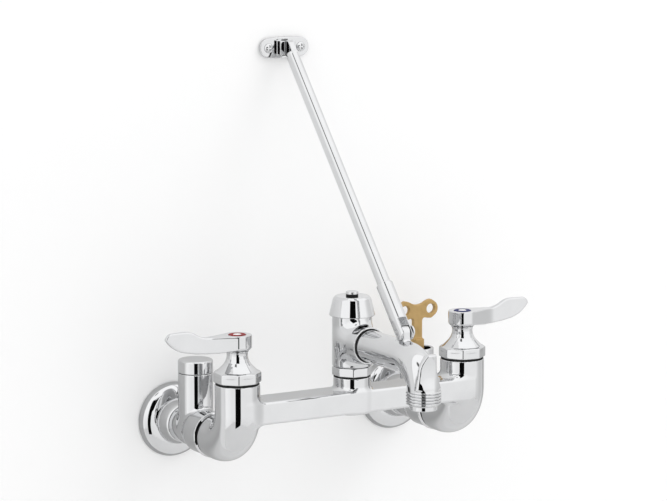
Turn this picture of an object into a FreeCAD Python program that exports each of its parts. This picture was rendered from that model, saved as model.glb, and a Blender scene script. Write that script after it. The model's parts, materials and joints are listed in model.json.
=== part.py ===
import FreeCAD, Part
import math
import os
from collections import namedtuple
from types import SimpleNamespace

import Sketcher
from FreeCAD import Placement, Rotation, Vector

# Wall-mounted service sink faucet: two inlets with loose-key stops, a two-handle mixing casting,
# a vacuum breaker, a hose-thread spout and a wall brace. Millimetres. +X runs right along the wall,
# +Y into the wall, +Z up. The origin lies on the wall, midway between the two inlets.
# A height is a distance above the inlet axes, and a reach is a distance out from the wall.

SIZES = {
    # layout
    "inlet_spacing": 203.2,
    "stop_reach": 40.0,
    "valve_reach": 108.0,
    "outlet_length": 105.0,
    # clearances
    "slip": 0.3,
    "pin_play": 0.1,
    "seat_gap": 0.1,
    # wall flange
    "flange_radius": 29.8,
    "flange_rim": 1.8,
    "flange_side_bend": 60.0,
    "flange_shoulder_radius": 25.2,
    "flange_shoulder": 6.4,
    "flange_crown_radius": 21.4,
    "flange_crown": 8.9,
    "flange_crown_bend": 11.0,
    "flange_collar_radius": 19.0,
    "flange_collar_reach": 9.8,
    "flange_wall": 1.6,
    # inlet tailpiece, union washer and coupling nut
    "tail_radius": 11.5,
    "tail_collar_radius": 13.6,
    "tail_collar_width": 2.5,
    "inlet_thread_radius": 9.35,
    "inlet_thread_depth": 11.0,
    "waterway_radius": 7.0,
    "union_washer_width": 1.5,
    "nut_radius": 18.5,
    "nut_front_radius": 16.2,
    "nut_nose_radius": 14.9,
    "nut_nose": 1.8,
    "nut_nose_bend": 2.2,
    "nut_length": 11.7,
    "nut_lip": 2.05,
    "octagon_chamfer": 1.0,
    # stop body
    "barrel_back_radius": 14.8,
    "barrel_front_radius": 17.2,
    "barrel_taper_start": 43.0,
    "barrel_taper_end": 52.0,
    "barrel_ring_radius": 17.9,
    "barrel_ring_width": 2.4,
    "barrel_front_reach": 72.7,
    "tower_radius": 13.7,
    "tower_top": 44.3,
    "mouth_radius": 11.3,
    "mouth_floor": 27.0,
    "gland_bore_radius": 10.6,
    "gland_bore_floor": 18.0,
    "chamber_radius": 9.8,
    "chamber_floor": 3.0,
    "seat_radius": 7.3,
    "seat_height": 8.0,
    "orifice_radius": 5.0,
    "inlet_bore_radius": 6.5,
    "inlet_bore_drop": 5.0,
    "inlet_bore_end": 44.0,
    "stop_outlet_radius": 5.0,
    "stop_outlet_height": 8.5,
    "cavity_radius": 13.0,
    "cavity_back_reach": 56.0,
    "joint_gasket_width": 0.6,
    "nipple_length": 10.0,
    # stop gland, stem, washer and seal
    "gland_flange_width": 2.5,
    "stem_radius": 4.0,
    "stem_thread_radius": 5.4,
    "stem_thread_length": 6.5,
    "stem_lift": 4.0,
    "stem_disc_radius": 7.6,
    "stem_disc_width": 2.4,
    "stop_washer_radius": 7.0,
    "stop_washer_width": 1.7,
    "washer_spigot_radius": 1.9,
    "stem_square": 5.6,
    "stem_square_bottom": 34.0,
    "stem_top": 41.0,
    "gland_thread_room": 5.0,
    "stem_seal_height": 25.6,
    "stem_seal_section": 0.9,
    # cap on the hot stop and the loose key in the cold one
    "cap_top": 54.8,
    "cap_skirt": 6.3,
    "cap_hollow_radius": 8.0,
    "cap_hollow_top": 49.0,
    "cap_round": 1.6,
    "key_block": 9.0,
    "key_block_top": 51.7,
    "key_thickness": 4.0,
    "key_stem_width": 8.2,
    "key_lobe_offset": 12.1,
    "key_lobe_radius": 6.8,
    "key_lobe_height": 75.4,
    "key_hole_radius": 3.9,
    "key_bar_bottom": 68.4,
    "key_dip": 79.2,
    "key_side_play": 0.25,
    # mixing casting
    "elbow_radius": 17.4,
    "elbow_bend": 25.0,
    "valve_radius": 17.3,
    "valve_top": 47.5,
    "elbow_bore_radius": 9.0,
    "cartridge_bore_radius": 12.5,
    "cartridge_bore_floor": 20.0,
    "bonnet_bore_radius": 15.2,
    "bonnet_bore_floor": 38.0,
    "bridge_bottom": 15.3,
    "bridge_top": 33.1,
    "bridge_depth": 28.0,
    "bridge_round": 4.0,
    "bridge_bore_radius": 4.8,
    "bridge_bore_height": 26.6,
    "boss_radius": 14.6,
    "boss_top": 43.0,
    "boss_nipple_radius": 12.6,
    "boss_nipple_top": 46.5,
    "boss_bore_radius": 8.0,
    # valve cartridge
    "seal_width": 1.5,
    "seal_hole_radius": 7.6,
    "cartridge_flange_radius": 14.9,
    "cartridge_flange_width": 2.5,
    "cartridge_neck_radius": 7.5,
    "cartridge_neck_top": 46.0,
    "disc_room_radius": 9.6,
    "disc_room_height": 9.5,
    "disc_width": 3.0,
    "disc_port_radius": 2.3,
    "disc_port_offset": 4.6,
    "spindle_radius": 4.1,
    "spindle_spline_radius": 3.9,
    "spindle_shoulder": 72.0,
    "spindle_top": 79.7,
    "screw_hole_depth": 9.0,
    # bonnet
    "bonnet_seat": 48.7,
    "bonnet_octagon_radius": 18.6,
    "bonnet_octagon_top": 56.6,
    "bonnet_cavity_radius": 11.5,
    "bonnet_cavity_top": 51.0,
    "bonnet_cone_radius": 10.5,
    "bonnet_cone_top": 61.7,
    "bonnet_neck_radius": 7.1,
    "bonnet_neck_height": 69.3,
    "bonnet_lip_radius": 8.6,
    "bonnet_top": 73.2,
    "bonnet_sweep": 9.5,
    "bonnet_flare": 5.9,
    # lever handle
    "hub_radius": 11.2,
    "hub_foot_radius": 9.6,
    "hub_bottom": 73.5,
    "hub_chamfer_top": 75.4,
    "hub_top": 85.4,
    "hub_pocket_floor": 80.0,
    "lever_reach": 61.7,
    "lever_shank_end": 26.0,
    "lever_rise_end": 45.0,
    "lever_crest": 91.5,
    "lever_tip_height": 86.3,
    "lever_belly": 75.2,
    "lever_thickness": 4.4,
    "lever_tip_thickness": 3.5,
    "lever_belly_bend": 25.9,
    "lever_tip_bend": 7.0,
    "lever_crest_bend": 17.1,
    "lever_root_reach": 5.6,
    "lever_root_width": 19.4,
    "handle_screw_head": 3.6,
    "handle_screw_head_height": 2.4,
    "handle_screw_radius": 1.6,
    "plug_radius": 6.7,
    "plug_width": 1.7,
    "plug_face": 85.6,
    "plug_dot_radius": 3.2,
    # vacuum breaker
    "breaker_nut_radius": 15.8,
    "breaker_nut_top": 51.0,
    "breaker_nut_lip": 1.8,
    "breaker_washer_width": 1.2,
    "breaker_radius": 15.5,
    "breaker_tail_radius": 11.0,
    "breaker_collar_radius": 12.3,
    "breaker_shoulder": 51.3,
    "breaker_top": 92.0,
    "inlet_seat_height": 60.0,
    "inlet_seat_bore": 8.0,
    "breaker_chamber_radius": 12.3,
    "spout_height": 71.0,
    "socket_radius": 12.75,
    "socket_length": 25.2,
    "socket_bore_radius": 11.1,
    "poppet_travel": 8.5,
    "poppet_radius": 10.4,
    "poppet_width": 2.5,
    "poppet_seal_width": 1.5,
    "poppet_skirt_radius": 7.6,
    "poppet_skirt_wall": 1.2,
    "poppet_skirt_length": 9.6,
    "poppet_window_radius": 1.8,
    "vent_flange_height": 6.5,
    "vent_nozzle_radius": 8.2,
    "vent_nozzle_bore": 6.2,
    "vent_web_width": 3.0,
    "vent_hole_radius": 1.3,
    "vent_hole_circle": 4.4,
    "vent_hole_count": 6,
    "vent_post_radius": 2.9,
    "vent_post_top": 98.0,
    "hood_rim_radius": 18.0,
    "hood_rim_height": 91.0,
    "hood_shoulder_radius": 14.8,
    "hood_shoulder_height": 104.6,
    "hood_top": 106.3,
    "hood_wall": 1.7,
    "hood_screw_head": 4.9,
    "hood_screw_head_height": 3.5,
    "hood_screw_radius": 1.7,
    # spout
    "spout_radius": 12.5,
    "spout_bend": 24.0,
    "spout_bore_radius": 8.0,
    "spout_plug_length": 11.5,
    "spout_seal_section": 0.9,
    "spout_seal_setback": 5.0,
    "neck_bottom": 51.0,
    "hose_thread_radius": 13.4,
    "hose_thread_core": 12.1,
    "hose_thread_pitch": 2.2,
    "hose_thread_turns": 5,
    "outlet_bottom": 35.5,
    "outlet_end_radius": 10.8,
    "pail_stop_radius": 11.4,
    "pail_stop_setback": 3.2,
    "pail_stop_rise": 4.3,
    "pail_stop_round": 2.2,
    "lug_setback": 28.9,
    "lug_rise": 6.3,
    "lug_thickness": 6.6,
    "lug_radius": 5.0,
    # brace
    "pin_radius": 2.0,
    "fork_radius": 6.5,
    "fork_length": 42.7,
    "fork_slot": 7.2,
    "fork_slot_depth": 9.6,
    "fork_bore_floor": 14.0,
    "fork_foot": 6.3,
    "fork_flat": 6.2,
    "fork_flat_length": 9.3,
    "fork_pin_head_radius": 4.5,
    "fork_pin_head_width": 1.7,
    "rod_radius": 5.2,
    "rod_bottom": 16.0,
    "rod_tongue_thickness": 4.8,
    "rod_tongue_length": 7.0,
    "rod_end_reach": 10.1,
    "rod_end_rise": 1.1,
    "eye_inset": 4.2,
    "eye_rise": 2.4,
    "eye_radius": 3.6,
    # wall bracket
    "bracket_height": 290.2,
    "bracket_length": 44.0,
    "bracket_depth": 17.0,
    "bracket_end_width": 33.0,
    "bracket_end_depth": 14.8,
    "bracket_plate": 3.0,
    "bracket_pin_radius": 1.6,
    "bracket_pin_inset": 1.4,
    "ear_width": 13.8,
    "ear_front": 8.3,
    "ear_bottom": 5.3,
    "ear_top": 5.7,
    "ear_window": 12.8,
    "bracket_screw_offset": 14.5,
    "bracket_screw_head": 4.0,
    "bracket_screw_head_height": 2.3,
    "bracket_screw_radius": 2.1,
    "bracket_screw_hole": 3.4,
    "bracket_screw_length": 24.0,
    "screw_slot_length": 4.6,
    "screw_slot_width": 1.1,
    "screw_slot_depth": 1.2,
}

UPRIGHT = Rotation()
# Turned parts on the inlet axis: their own Z points out from the wall.
OUTWARD = Rotation(Vector(1, 0, 0), 90)
# Castings: their own Y points out from the wall.
ROOMWARD = Rotation(Vector(0, 0, 1), 180)

# Corner nearest to the first axis, in degrees, and what share of an octagon's corner radius its flats have.
BONNET_TURN = {"hot": 20.6, "cold": 15.2}
BREAKER_NUT_TURN = 18.9
FLAT_SHARE = math.cos(math.radians(22.5))
# A half circle is drawn as an arc with this share more radius, so that its side of the chord is certain.
HALF_TURN = 1.001

Circle = namedtuple("Circle", "x y radius")
SIDES = {"hot": -1, "cold": 1}

doc = FreeCAD.newDocument("service_sink_faucet")
sheet = doc.addObject("Spreadsheet::Sheet", "Dims")
sub_parts = []


class Size:
    """A length that knows its number and the sheet expression that gives it."""

    def __init__(self, value, text):
        self.value = value
        self.text = text

    def __add__(self, other):
        return Size(self.value + number(other), f"({self.text} + {text(other)})")

    def __sub__(self, other):
        return Size(self.value - number(other), f"({self.text} - {text(other)})")

    def __rsub__(self, other):
        return Size(number(other) - self.value, f"({text(other)} - {self.text})")

    def __mul__(self, factor):
        return Size(self.value * number(factor), f"({self.text} * {text(factor)})")

    def __truediv__(self, divisor):
        return Size(self.value / number(divisor), f"({self.text} / {text(divisor)})")

    def __neg__(self):
        return Size(-self.value, f"(-1 * {self.text})")

    __radd__ = __add__
    __rmul__ = __mul__


def number(length):
    return length.value if isinstance(length, Size) else float(length)


def text(length):
    return length.text if isinstance(length, Size) else str(float(length))


def fill_sheet():
    for row, (name, value) in enumerate(SIZES.items(), start=1):
        sheet.set(f"A{row}", name)
        sheet.set(f"B{row}", str(value))
        sheet.setAlias(f"B{row}", name)
    doc.recompute()


fill_sheet()
s = SimpleNamespace(**{name: Size(value, f"Dims.{name}") for name, value in SIZES.items()})


def new_body(label, x=0, y=0, z=0, turn=UPRIGHT):
    """An empty body whose own origin lies at x, y, z."""
    body = doc.addObject("PartDesign::Body", label)
    body.Label = label
    body.Placement = Placement(Vector(number(x), number(y), number(z)), turn)
    for axis, value in (("x", x), ("y", y), ("z", z)):
        body.setExpression(f"Placement.Base.{axis}", text(value))
    return body


def new_sketch(body, plane, offset=0):
    """A sketch on one of the body's own origin planes, moved along its normal."""
    sketch = body.newObject("Sketcher::SketchObject", body.Label + "_sketch")
    base = [item for item in body.Origin.OriginFeatures if item.Role == plane][0]
    sketch.AttachmentSupport = [(base, "")]
    sketch.MapMode = "FlatFace"
    sketch.setExpression("AttachmentOffset.Base.z", text(offset))
    return sketch


def hold(sketch, element, point, x, y):
    """Tie a point of the sketch to its distances from the sketch's origin."""
    for kind, axis, distance in (("DistanceX", -2, x), ("DistanceY", -1, y)):
        if number(distance) == 0:
            sketch.addConstraint(Sketcher.Constraint("PointOnObject", element, point, axis))
            continue
        if number(distance) > 0:
            rule = Sketcher.Constraint(kind, -1, 1, element, point, number(distance))
        else:
            distance = -1 * distance
            rule = Sketcher.Constraint(kind, element, point, -1, 1, number(distance))
        row = sketch.addConstraint(rule)
        sketch.setExpression(f"Constraints[{row}]", text(distance))


def arc_between(start, end, radius):
    """The short arc from start to end; its centre lies to the left where the radius is positive."""
    chord = end - start
    left = Vector(-chord.y, chord.x, 0).normalize()
    rise = math.sqrt(max(radius ** 2 - (chord.Length / 2) ** 2, 0))
    centre = (start + end) / 2 + left * math.copysign(rise, radius)
    first, last = (start, end) if radius > 0 else (end, start)
    circle = Part.Circle(centre, Vector(0, 0, 1), abs(radius))
    return Part.ArcOfCircle(circle, circle.parameter(first), circle.parameter(last))


def add_outline(sketch, points, closed=True):
    """Edges through the points. A third value makes the edge that leaves a point an arc."""
    edges = []
    last = len(points) if closed else len(points) - 1
    for index in range(last):
        here = points[index]
        there = points[(index + 1) % len(points)]
        start = Vector(number(here[0]), number(here[1]), 0)
        end = Vector(number(there[0]), number(there[1]), 0)
        if len(here) == 3:
            radius = number(here[2])
            edge = sketch.addGeometry(arc_between(start, end, radius))
            size = here[2] if radius > 0 else -1 * here[2]
            row = sketch.addConstraint(Sketcher.Constraint("Radius", edge, abs(radius)))
            sketch.setExpression(f"Constraints[{row}]", text(size))
            edges.append((edge, 1, 2) if radius > 0 else (edge, 2, 1))
        else:
            edges.append((sketch.addGeometry(Part.LineSegment(start, end)), 1, 2))
    for index, (edge, tail, head) in enumerate(edges):
        if closed or index:
            before = edges[index - 1]
            rule = Sketcher.Constraint("Coincident", before[0], before[2], edge, tail)
            sketch.addConstraint(rule)
        hold(sketch, edge, tail, points[index][0], points[index][1])
    if not closed:
        hold(sketch, edges[-1][0], edges[-1][2], points[-1][0], points[-1][1])


def draw(sketch, shapes):
    """Put circles and closed outlines into the sketch."""
    for shape in shapes:
        if isinstance(shape, Circle):
            centre = Vector(number(shape.x), number(shape.y), 0)
            disc = Part.Circle(centre, Vector(0, 0, 1), number(shape.radius))
            edge = sketch.addGeometry(disc)
            hold(sketch, edge, 3, shape.x, shape.y)
            row = sketch.addConstraint(Sketcher.Constraint("Radius", edge, number(shape.radius)))
            sketch.setExpression(f"Constraints[{row}]", text(shape.radius))
        else:
            add_outline(sketch, shape)


def spin(body, points, cut=False):
    """Turn an outline, given as radius and height, about the body's own Z axis."""
    sketch = new_sketch(body, "XZ_Plane")
    draw(sketch, [points])
    kind = "PartDesign::Groove" if cut else "PartDesign::Revolution"
    turned = body.newObject(kind, body.Label + "_turned")
    turned.Profile = sketch
    turned.ReferenceAxis = (sketch, ["V_Axis"])
    turned.Angle = 360
    body.Tip = turned
    return turned


def slab(body, plane, shapes, low, high, cut=False):
    """Fill or cut the shapes between two levels along the body's own X, Y or Z axis."""
    # The normal of the XZ plane points along -Y, and the other two along +X and +Z.
    start = -1 * high if plane == "XZ_Plane" else low
    sketch = new_sketch(body, plane, start)
    draw(sketch, shapes)
    kind = "PartDesign::Pocket" if cut else "PartDesign::Pad"
    solid = body.newObject(kind, body.Label + "_slab")
    solid.Profile = sketch
    solid.setExpression("Length", text(high - low))
    solid.Reversed = cut
    body.Tip = solid
    return solid


def elbow(body, x, path, bend, radius, cut=False):
    """A round tube in a plane x: a run along Y, a bend, and a column along Z."""
    run_start, run_height, column, column_end = path
    down = number(column_end) < number(run_height)
    bend_end = run_height - bend if down else run_height + bend
    corner = [(run_start, run_height), (column - bend, run_height, -1 * bend if down else bend),
              (column, bend_end), (column, column_end)]
    spine = new_sketch(body, "YZ_Plane", x)
    add_outline(spine, corner, closed=False)
    section = new_sketch(body, "XZ_Plane", -1 * run_start)
    draw(section, [Circle(x, run_height, radius)])
    kind = "PartDesign::SubtractivePipe" if cut else "PartDesign::AdditivePipe"
    tube = body.newObject(kind, body.Label + "_tube")
    tube.Profile = section
    tube.Spine = (spine, ["Edge1", "Edge2", "Edge3"])
    body.Tip = tube
    return tube


def round_rims(body, rims, radius):
    """Fillet the round edges that lie at the given radius and height about the body's Z axis."""
    doc.recompute()
    base = body.Tip
    names = []
    for index, edge in enumerate(base.Shape.Edges, start=1):
        if not isinstance(edge.Curve, Part.Circle):
            continue
        for rim_radius, rim_height in rims:
            same_radius = abs(edge.Curve.Radius - number(rim_radius)) < 1e-4
            same_height = abs(edge.Curve.Center.z - number(rim_height)) < 1e-4
            if same_radius and same_height:
                names.append(f"Edge{index}")
    fillet = body.newObject("PartDesign::Fillet", body.Label + "_round")
    fillet.Base = (base, names)
    fillet.setExpression("Radius", text(radius))
    body.Tip = fillet
    return fillet


def ring(inner, outer, low, high):
    return [(inner, low), (outer, low), (outer, high), (inner, high)]


def rod(radius, low, high):
    return [(0, low), (radius, low), (radius, high), (0, high)]


def box(left, right, low, high):
    return [(left, low), (right, low), (right, high), (left, high)]


def octagon(radius, first_angle):
    """Eight corners on a circle; the first stands at first_angle, in degrees."""
    corners = []
    for step in range(8):
        angle = math.radians(first_angle + 45 * step)
        corners.append((radius * math.cos(angle), radius * math.sin(angle)))
    return corners


def keep(*bodies):
    sub_parts.extend(bodies)


def group(label, bodies):
    """Several like pieces that are kept together under one name."""
    bundle = doc.addObject("Part::Compound", label)
    bundle.Label = label
    bundle.Links = bodies
    keep(bundle)


half_spacing = s.inlet_spacing / 2
socket_reach = s.valve_reach + s.socket_length
outlet_reach = s.valve_reach + s.outlet_length
lug_reach = outlet_reach - s.lug_setback
lug_height = s.spout_height + s.spout_radius + s.lug_rise

# Levels along the inlet axis, counted out from the wall.
nut_back = s.flange_collar_reach + s.slip
tail_collar_back = nut_back + s.nut_lip
tail_end = tail_collar_back + s.tail_collar_width
stop_face = tail_end + s.union_washer_width
nut_front = nut_back + s.nut_length
stop_shoulder = nut_front + s.slip
casting_back = s.barrel_front_reach + s.joint_gasket_width


def wall_flange(side, x):
    body = new_body(f"{side}_wall_flange", x=x, turn=OUTWARD)
    bore = s.tail_radius + s.slip
    wall = s.flange_wall
    rim = s.flange_rim
    reach = s.flange_collar_reach
    inner_rim = s.flange_radius - wall
    spin(body, [(bore, reach), (bore, reach - wall), (s.flange_collar_radius, reach - wall),
                (s.flange_shoulder_radius - wall, s.flange_shoulder - wall / 2),
                (inner_rim, rim - wall / 2), (inner_rim, 0), (s.flange_radius, 0),
                (s.flange_radius, rim, s.flange_side_bend),
                (s.flange_shoulder_radius, s.flange_shoulder, s.flange_crown_bend),
                (s.flange_crown_radius, s.flange_crown), (s.flange_collar_radius, reach)])
    keep(body)


def inlet_tailpiece(side, x):
    body = new_body(f"{side}_inlet_tailpiece", x=x, turn=OUTWARD)
    spin(body, [(s.inlet_thread_radius, 0), (s.tail_radius, 0), (s.tail_radius, tail_collar_back),
                (s.tail_collar_radius, tail_collar_back), (s.tail_collar_radius, tail_end),
                (s.waterway_radius, tail_end), (s.waterway_radius, s.inlet_thread_depth),
                (s.inlet_thread_radius, s.inlet_thread_depth)])
    keep(body)


def coupling_nut(side, x):
    """A round tapered union nut."""
    body = new_body(f"{side}_coupling_nut", x=x, turn=OUTWARD)
    hole = s.tail_radius + s.slip
    thread = s.tail_collar_radius + s.slip * 2
    spin(body, [(hole, nut_back), (s.nut_radius, nut_back),
                (s.nut_front_radius, nut_front - s.nut_nose, s.nut_nose_bend), (s.nut_nose_radius, nut_front),
                (thread, nut_front), (thread, tail_collar_back), (hole, tail_collar_back)])
    keep(body)


def union_washers():
    washers = []
    for side, sign in SIDES.items():
        body = new_body(f"{side}_union_washer", x=half_spacing * sign, turn=OUTWARD)
        spin(body, ring(s.waterway_radius + s.slip, s.tail_collar_radius - s.slip, tail_end, stop_face))
        washers.append(body)
    group("union_washers", washers)


def stop_body(side, x):
    body = new_body(f"{side}_stop_body", x=x, y=-1 * s.stop_reach, turn=ROOMWARD)
    back = s.stop_reach
    face = stop_face - back
    shoulder = stop_shoulder - back
    front = s.barrel_front_reach - back
    runs = [(s.tail_collar_radius + s.slip, face, shoulder),
            (s.barrel_back_radius, shoulder, s.barrel_taper_start - back),
            (s.barrel_front_radius, s.barrel_taper_end - back, front),
            (s.barrel_ring_radius, front - s.barrel_ring_width, front)]
    slab(body, "XY_Plane", [Circle(0, 0, s.tower_radius)], 0, s.tower_top)
    for radius, low, high in runs[:2]:
        slab(body, "XZ_Plane", [Circle(0, 0, radius)], low, high)
    taper = body.newObject("PartDesign::AdditiveLoft", "stop_taper")
    sections = [(s.barrel_back_radius, s.barrel_taper_start), (s.barrel_front_radius, s.barrel_taper_end)]
    sketches = []
    for radius, reach in sections:
        sketch = new_sketch(body, "XZ_Plane", -1 * (reach - back))
        draw(sketch, [Circle(0, 0, radius)])
        sketches.append(sketch)
    taper.Profile = sketches[0]
    taper.Sections = [sketches[1]]
    body.Tip = taper
    for radius, low, high in runs[2:]:
        slab(body, "XZ_Plane", [Circle(0, 0, radius)], low, high)
    # Waterways: in below the seat, up through it, out above it.
    slab(body, "XZ_Plane", [Circle(0, -1 * s.inlet_bore_drop, s.inlet_bore_radius)],
         face, s.inlet_bore_end - back, cut=True)
    slab(body, "XZ_Plane", [Circle(0, s.stop_outlet_height, s.stop_outlet_radius)],
         s.seat_radius, s.cavity_back_reach - back, cut=True)
    slab(body, "XZ_Plane", [Circle(0, 0, s.cavity_radius)], s.cavity_back_reach - back, front, cut=True)
    spin(body, rod(s.orifice_radius, -1 * s.inlet_bore_drop, s.seat_height), cut=True)
    spin(body, ring(s.seat_radius, s.chamber_radius, s.chamber_floor, s.seat_height), cut=True)
    spin(body, rod(s.chamber_radius, s.seat_height, s.gland_bore_floor), cut=True)
    spin(body, rod(s.gland_bore_radius, s.gland_bore_floor, s.mouth_floor), cut=True)
    spin(body, rod(s.mouth_radius, s.mouth_floor, s.tower_top), cut=True)
    keep(body)


def on_stop(name, x):
    return new_body(name, x=x, y=-1 * s.stop_reach)


def stop_gland(side, x):
    body = on_stop(f"{side}_stop_gland", x)
    bottom = s.gland_bore_floor + s.slip
    shaft = s.stem_radius + s.slip
    thread_room = s.stem_thread_radius + s.slip * 1.5
    thread_end = bottom + s.gland_thread_room
    groove = s.stem_radius + s.stem_seal_section * 2 + s.slip
    groove_low = s.stem_seal_height - s.stem_seal_section - s.seat_gap
    groove_high = s.stem_seal_height + s.stem_seal_section + s.seat_gap
    top = s.mouth_floor + s.gland_flange_width
    thread = s.gland_bore_radius - s.slip
    spin(body, [(thread_room, bottom), (thread, bottom), (thread, s.mouth_floor),
                (s.mouth_radius - s.slip, s.mouth_floor), (s.mouth_radius - s.slip, top), (shaft, top),
                (shaft, groove_high), (groove, groove_high), (groove, groove_low), (shaft, groove_low),
                (shaft, thread_end), (thread_room, thread_end)])
    keep(body)


washer_low = s.seat_height + s.seat_gap + s.stem_lift
washer_high = washer_low + s.stop_washer_width


def stop_stem(side, x):
    body = on_stop(f"{side}_stop_stem", x)
    disc_low = washer_high + s.slip
    disc_high = disc_low + s.stem_disc_width
    thread_high = disc_high + s.stem_thread_length
    spin(body, [(0, washer_low), (s.washer_spigot_radius, washer_low), (s.washer_spigot_radius, disc_low),
                (s.stem_disc_radius, disc_low), (s.stem_disc_radius, disc_high),
                (s.stem_thread_radius, disc_high), (s.stem_thread_radius, thread_high),
                (s.stem_radius, thread_high), (s.stem_radius, s.stem_square_bottom),
                (0, s.stem_square_bottom)])
    half = s.stem_square / 2
    slab(body, "XY_Plane", [box(-1 * half, half, -1 * half, half)], s.stem_square_bottom, s.stem_top)
    keep(body)


def stop_washer(side, x):
    body = on_stop(f"{side}_stop_washer", x)
    spin(body, ring(s.washer_spigot_radius + s.slip, s.stop_washer_radius, washer_low, washer_high))
    keep(body)


def stem_seals():
    seals = []
    for side, sign in SIDES.items():
        body = on_stop(f"{side}_stem_seal", half_spacing * sign)
        sketch = new_sketch(body, "XZ_Plane")
        centre = s.stem_radius + s.slip * 0.6 + s.stem_seal_section
        draw(sketch, [Circle(centre, s.stem_seal_height, s.stem_seal_section)])
        seal = body.newObject("PartDesign::Revolution", "seal_ring")
        seal.Profile = sketch
        seal.ReferenceAxis = (sketch, ["V_Axis"])
        seal.Angle = 360
        body.Tip = seal
        seals.append(body)
    group("stem_seals", seals)


def joint_gaskets():
    gaskets = []
    for side, sign in SIDES.items():
        body = new_body(f"{side}_joint_gasket", x=half_spacing * sign, turn=OUTWARD)
        outer = s.barrel_front_radius - s.slip
        spin(body, ring(s.cavity_radius, outer, s.barrel_front_reach, casting_back))
        gaskets.append(body)
    group("joint_gaskets", gaskets)


def hot_stop_cap(x):
    body = on_stop("hot_stop_cap", x)
    seam = s.tower_top + s.slip
    skirt_low = seam - s.cap_skirt
    skirt = s.mouth_radius - s.slip
    spin(body, [(s.cap_hollow_radius, skirt_low), (skirt, skirt_low), (skirt, seam), (s.tower_radius, seam),
                (s.tower_radius, s.cap_top), (0, s.cap_top), (0, s.cap_hollow_top),
                (s.cap_hollow_radius, s.cap_hollow_top)])
    round_rims(body, [(s.tower_radius, s.cap_top)], s.cap_round)
    keep(body)


def loose_key(x):
    body = on_stop("loose_key", x)
    half = s.key_block / 2
    bottom = s.stem_square_bottom
    slab(body, "XY_Plane", [box(-1 * half, half, -1 * half, half)], bottom, s.key_block_top)
    thin = s.key_thickness / 2
    stem = s.key_stem_width / 2
    lobe = s.key_lobe_offset
    lobe_top = s.key_lobe_height + s.key_lobe_radius
    dip_rise = lobe_top - s.key_dip
    dip = (lobe * lobe + dip_rise * dip_rise) / (dip_rise * 2)
    slab(body, "XZ_Plane", [[(-1 * stem, s.key_block_top), (stem, s.key_block_top), (stem, s.key_bar_bottom),
                             (lobe, s.key_bar_bottom + s.slip), (lobe, lobe_top, -1 * dip),
                             (-1 * lobe, lobe_top), (-1 * lobe, s.key_bar_bottom + s.slip),
                             (-1 * stem, s.key_bar_bottom)]], -1 * thin, thin)
    for sign in (-1, 1):
        slab(body, "XZ_Plane", [Circle(lobe * sign, s.key_lobe_height, s.key_lobe_radius)], -1 * thin, thin)
    holes = [Circle(lobe * sign, s.key_lobe_height, s.key_hole_radius) for sign in (-1, 1)]
    slab(body, "XZ_Plane", holes, -1 * thin, thin, cut=True)
    socket = s.stem_square / 2 + s.key_side_play
    slab(body, "XY_Plane", [box(-1 * socket, socket, -1 * socket, socket)],
         bottom, s.stem_top + s.slip, cut=True)
    keep(body)


def mixing_body():
    body = new_body("mixing_body", turn=ROOMWARD)
    half = s.bridge_depth / 2
    bar = box(s.valve_reach - half, s.valve_reach + half, s.bridge_bottom, s.bridge_top)
    slab(body, "YZ_Plane", [bar], -1 * half_spacing, half_spacing)
    round_long_edges(body)
    for sign in SIDES.values():
        x = half_spacing * sign
        path = (casting_back, 0, s.valve_reach, s.valve_top)
        elbow(body, x, path, s.elbow_bend, s.elbow_radius)
        nipple = s.cavity_radius - s.slip
        slab(body, "XZ_Plane", [Circle(x, 0, nipple)], casting_back - s.nipple_length, casting_back)
    at_boss = s.valve_reach
    slab(body, "XY_Plane", [Circle(0, at_boss, s.boss_radius)], s.bridge_bottom, s.boss_top)
    slab(body, "XY_Plane", [Circle(0, at_boss, s.boss_nipple_radius)], s.boss_top, s.boss_nipple_top)
    for sign in SIDES.values():
        x = half_spacing * sign
        path = (casting_back - s.nipple_length, 0, s.valve_reach, s.cartridge_bore_floor + s.elbow_bend)
        elbow(body, x, path, s.elbow_bend, s.elbow_bore_radius, cut=True)
        slab(body, "XY_Plane", [Circle(x, s.valve_reach, s.cartridge_bore_radius)],
             s.cartridge_bore_floor, s.valve_top, cut=True)
        slab(body, "XY_Plane", [Circle(x, s.valve_reach, s.bonnet_bore_radius)],
             s.bonnet_bore_floor, s.valve_top, cut=True)
    slab(body, "YZ_Plane", [Circle(s.valve_reach, s.bridge_bore_height, s.bridge_bore_radius)],
         -1 * half_spacing, half_spacing, cut=True)
    slab(body, "XY_Plane", [Circle(0, at_boss, s.boss_bore_radius)],
         s.bridge_bore_height, s.boss_nipple_top, cut=True)
    keep(body)


def round_long_edges(body):
    """Fillet the four long edges of the bridge bar."""
    doc.recompute()
    base = body.Tip
    names = []
    for index, edge in enumerate(base.Shape.Edges, start=1):
        if edge.BoundBox.XLength > SIZES["inlet_spacing"] / 2:
            names.append(f"Edge{index}")
    fillet = body.newObject("PartDesign::Fillet", "bridge_round")
    fillet.Base = (base, names)
    fillet.setExpression("Radius", text(s.bridge_round))
    body.Tip = fillet


def on_valve(name, x):
    return new_body(name, x=x, y=-1 * s.valve_reach)


seal_top = s.cartridge_bore_floor + s.seal_width
disc_room_top = seal_top + s.disc_room_height
moving_disc_low = seal_top + s.disc_width + s.slip
moving_disc_high = moving_disc_low + s.disc_width
cartridge_flange_low = s.bonnet_bore_floor + s.slip
cartridge_flange_high = cartridge_flange_low + s.cartridge_flange_width


def cartridge_seals():
    seals = []
    for side, sign in SIDES.items():
        body = on_valve(f"{side}_cartridge_seal", half_spacing * sign)
        spin(body, ring(s.seal_hole_radius, s.cartridge_bore_radius - s.slip * 1.5,
                        s.cartridge_bore_floor, seal_top))
        seals.append(body)
    group("cartridge_seals", seals)


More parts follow.
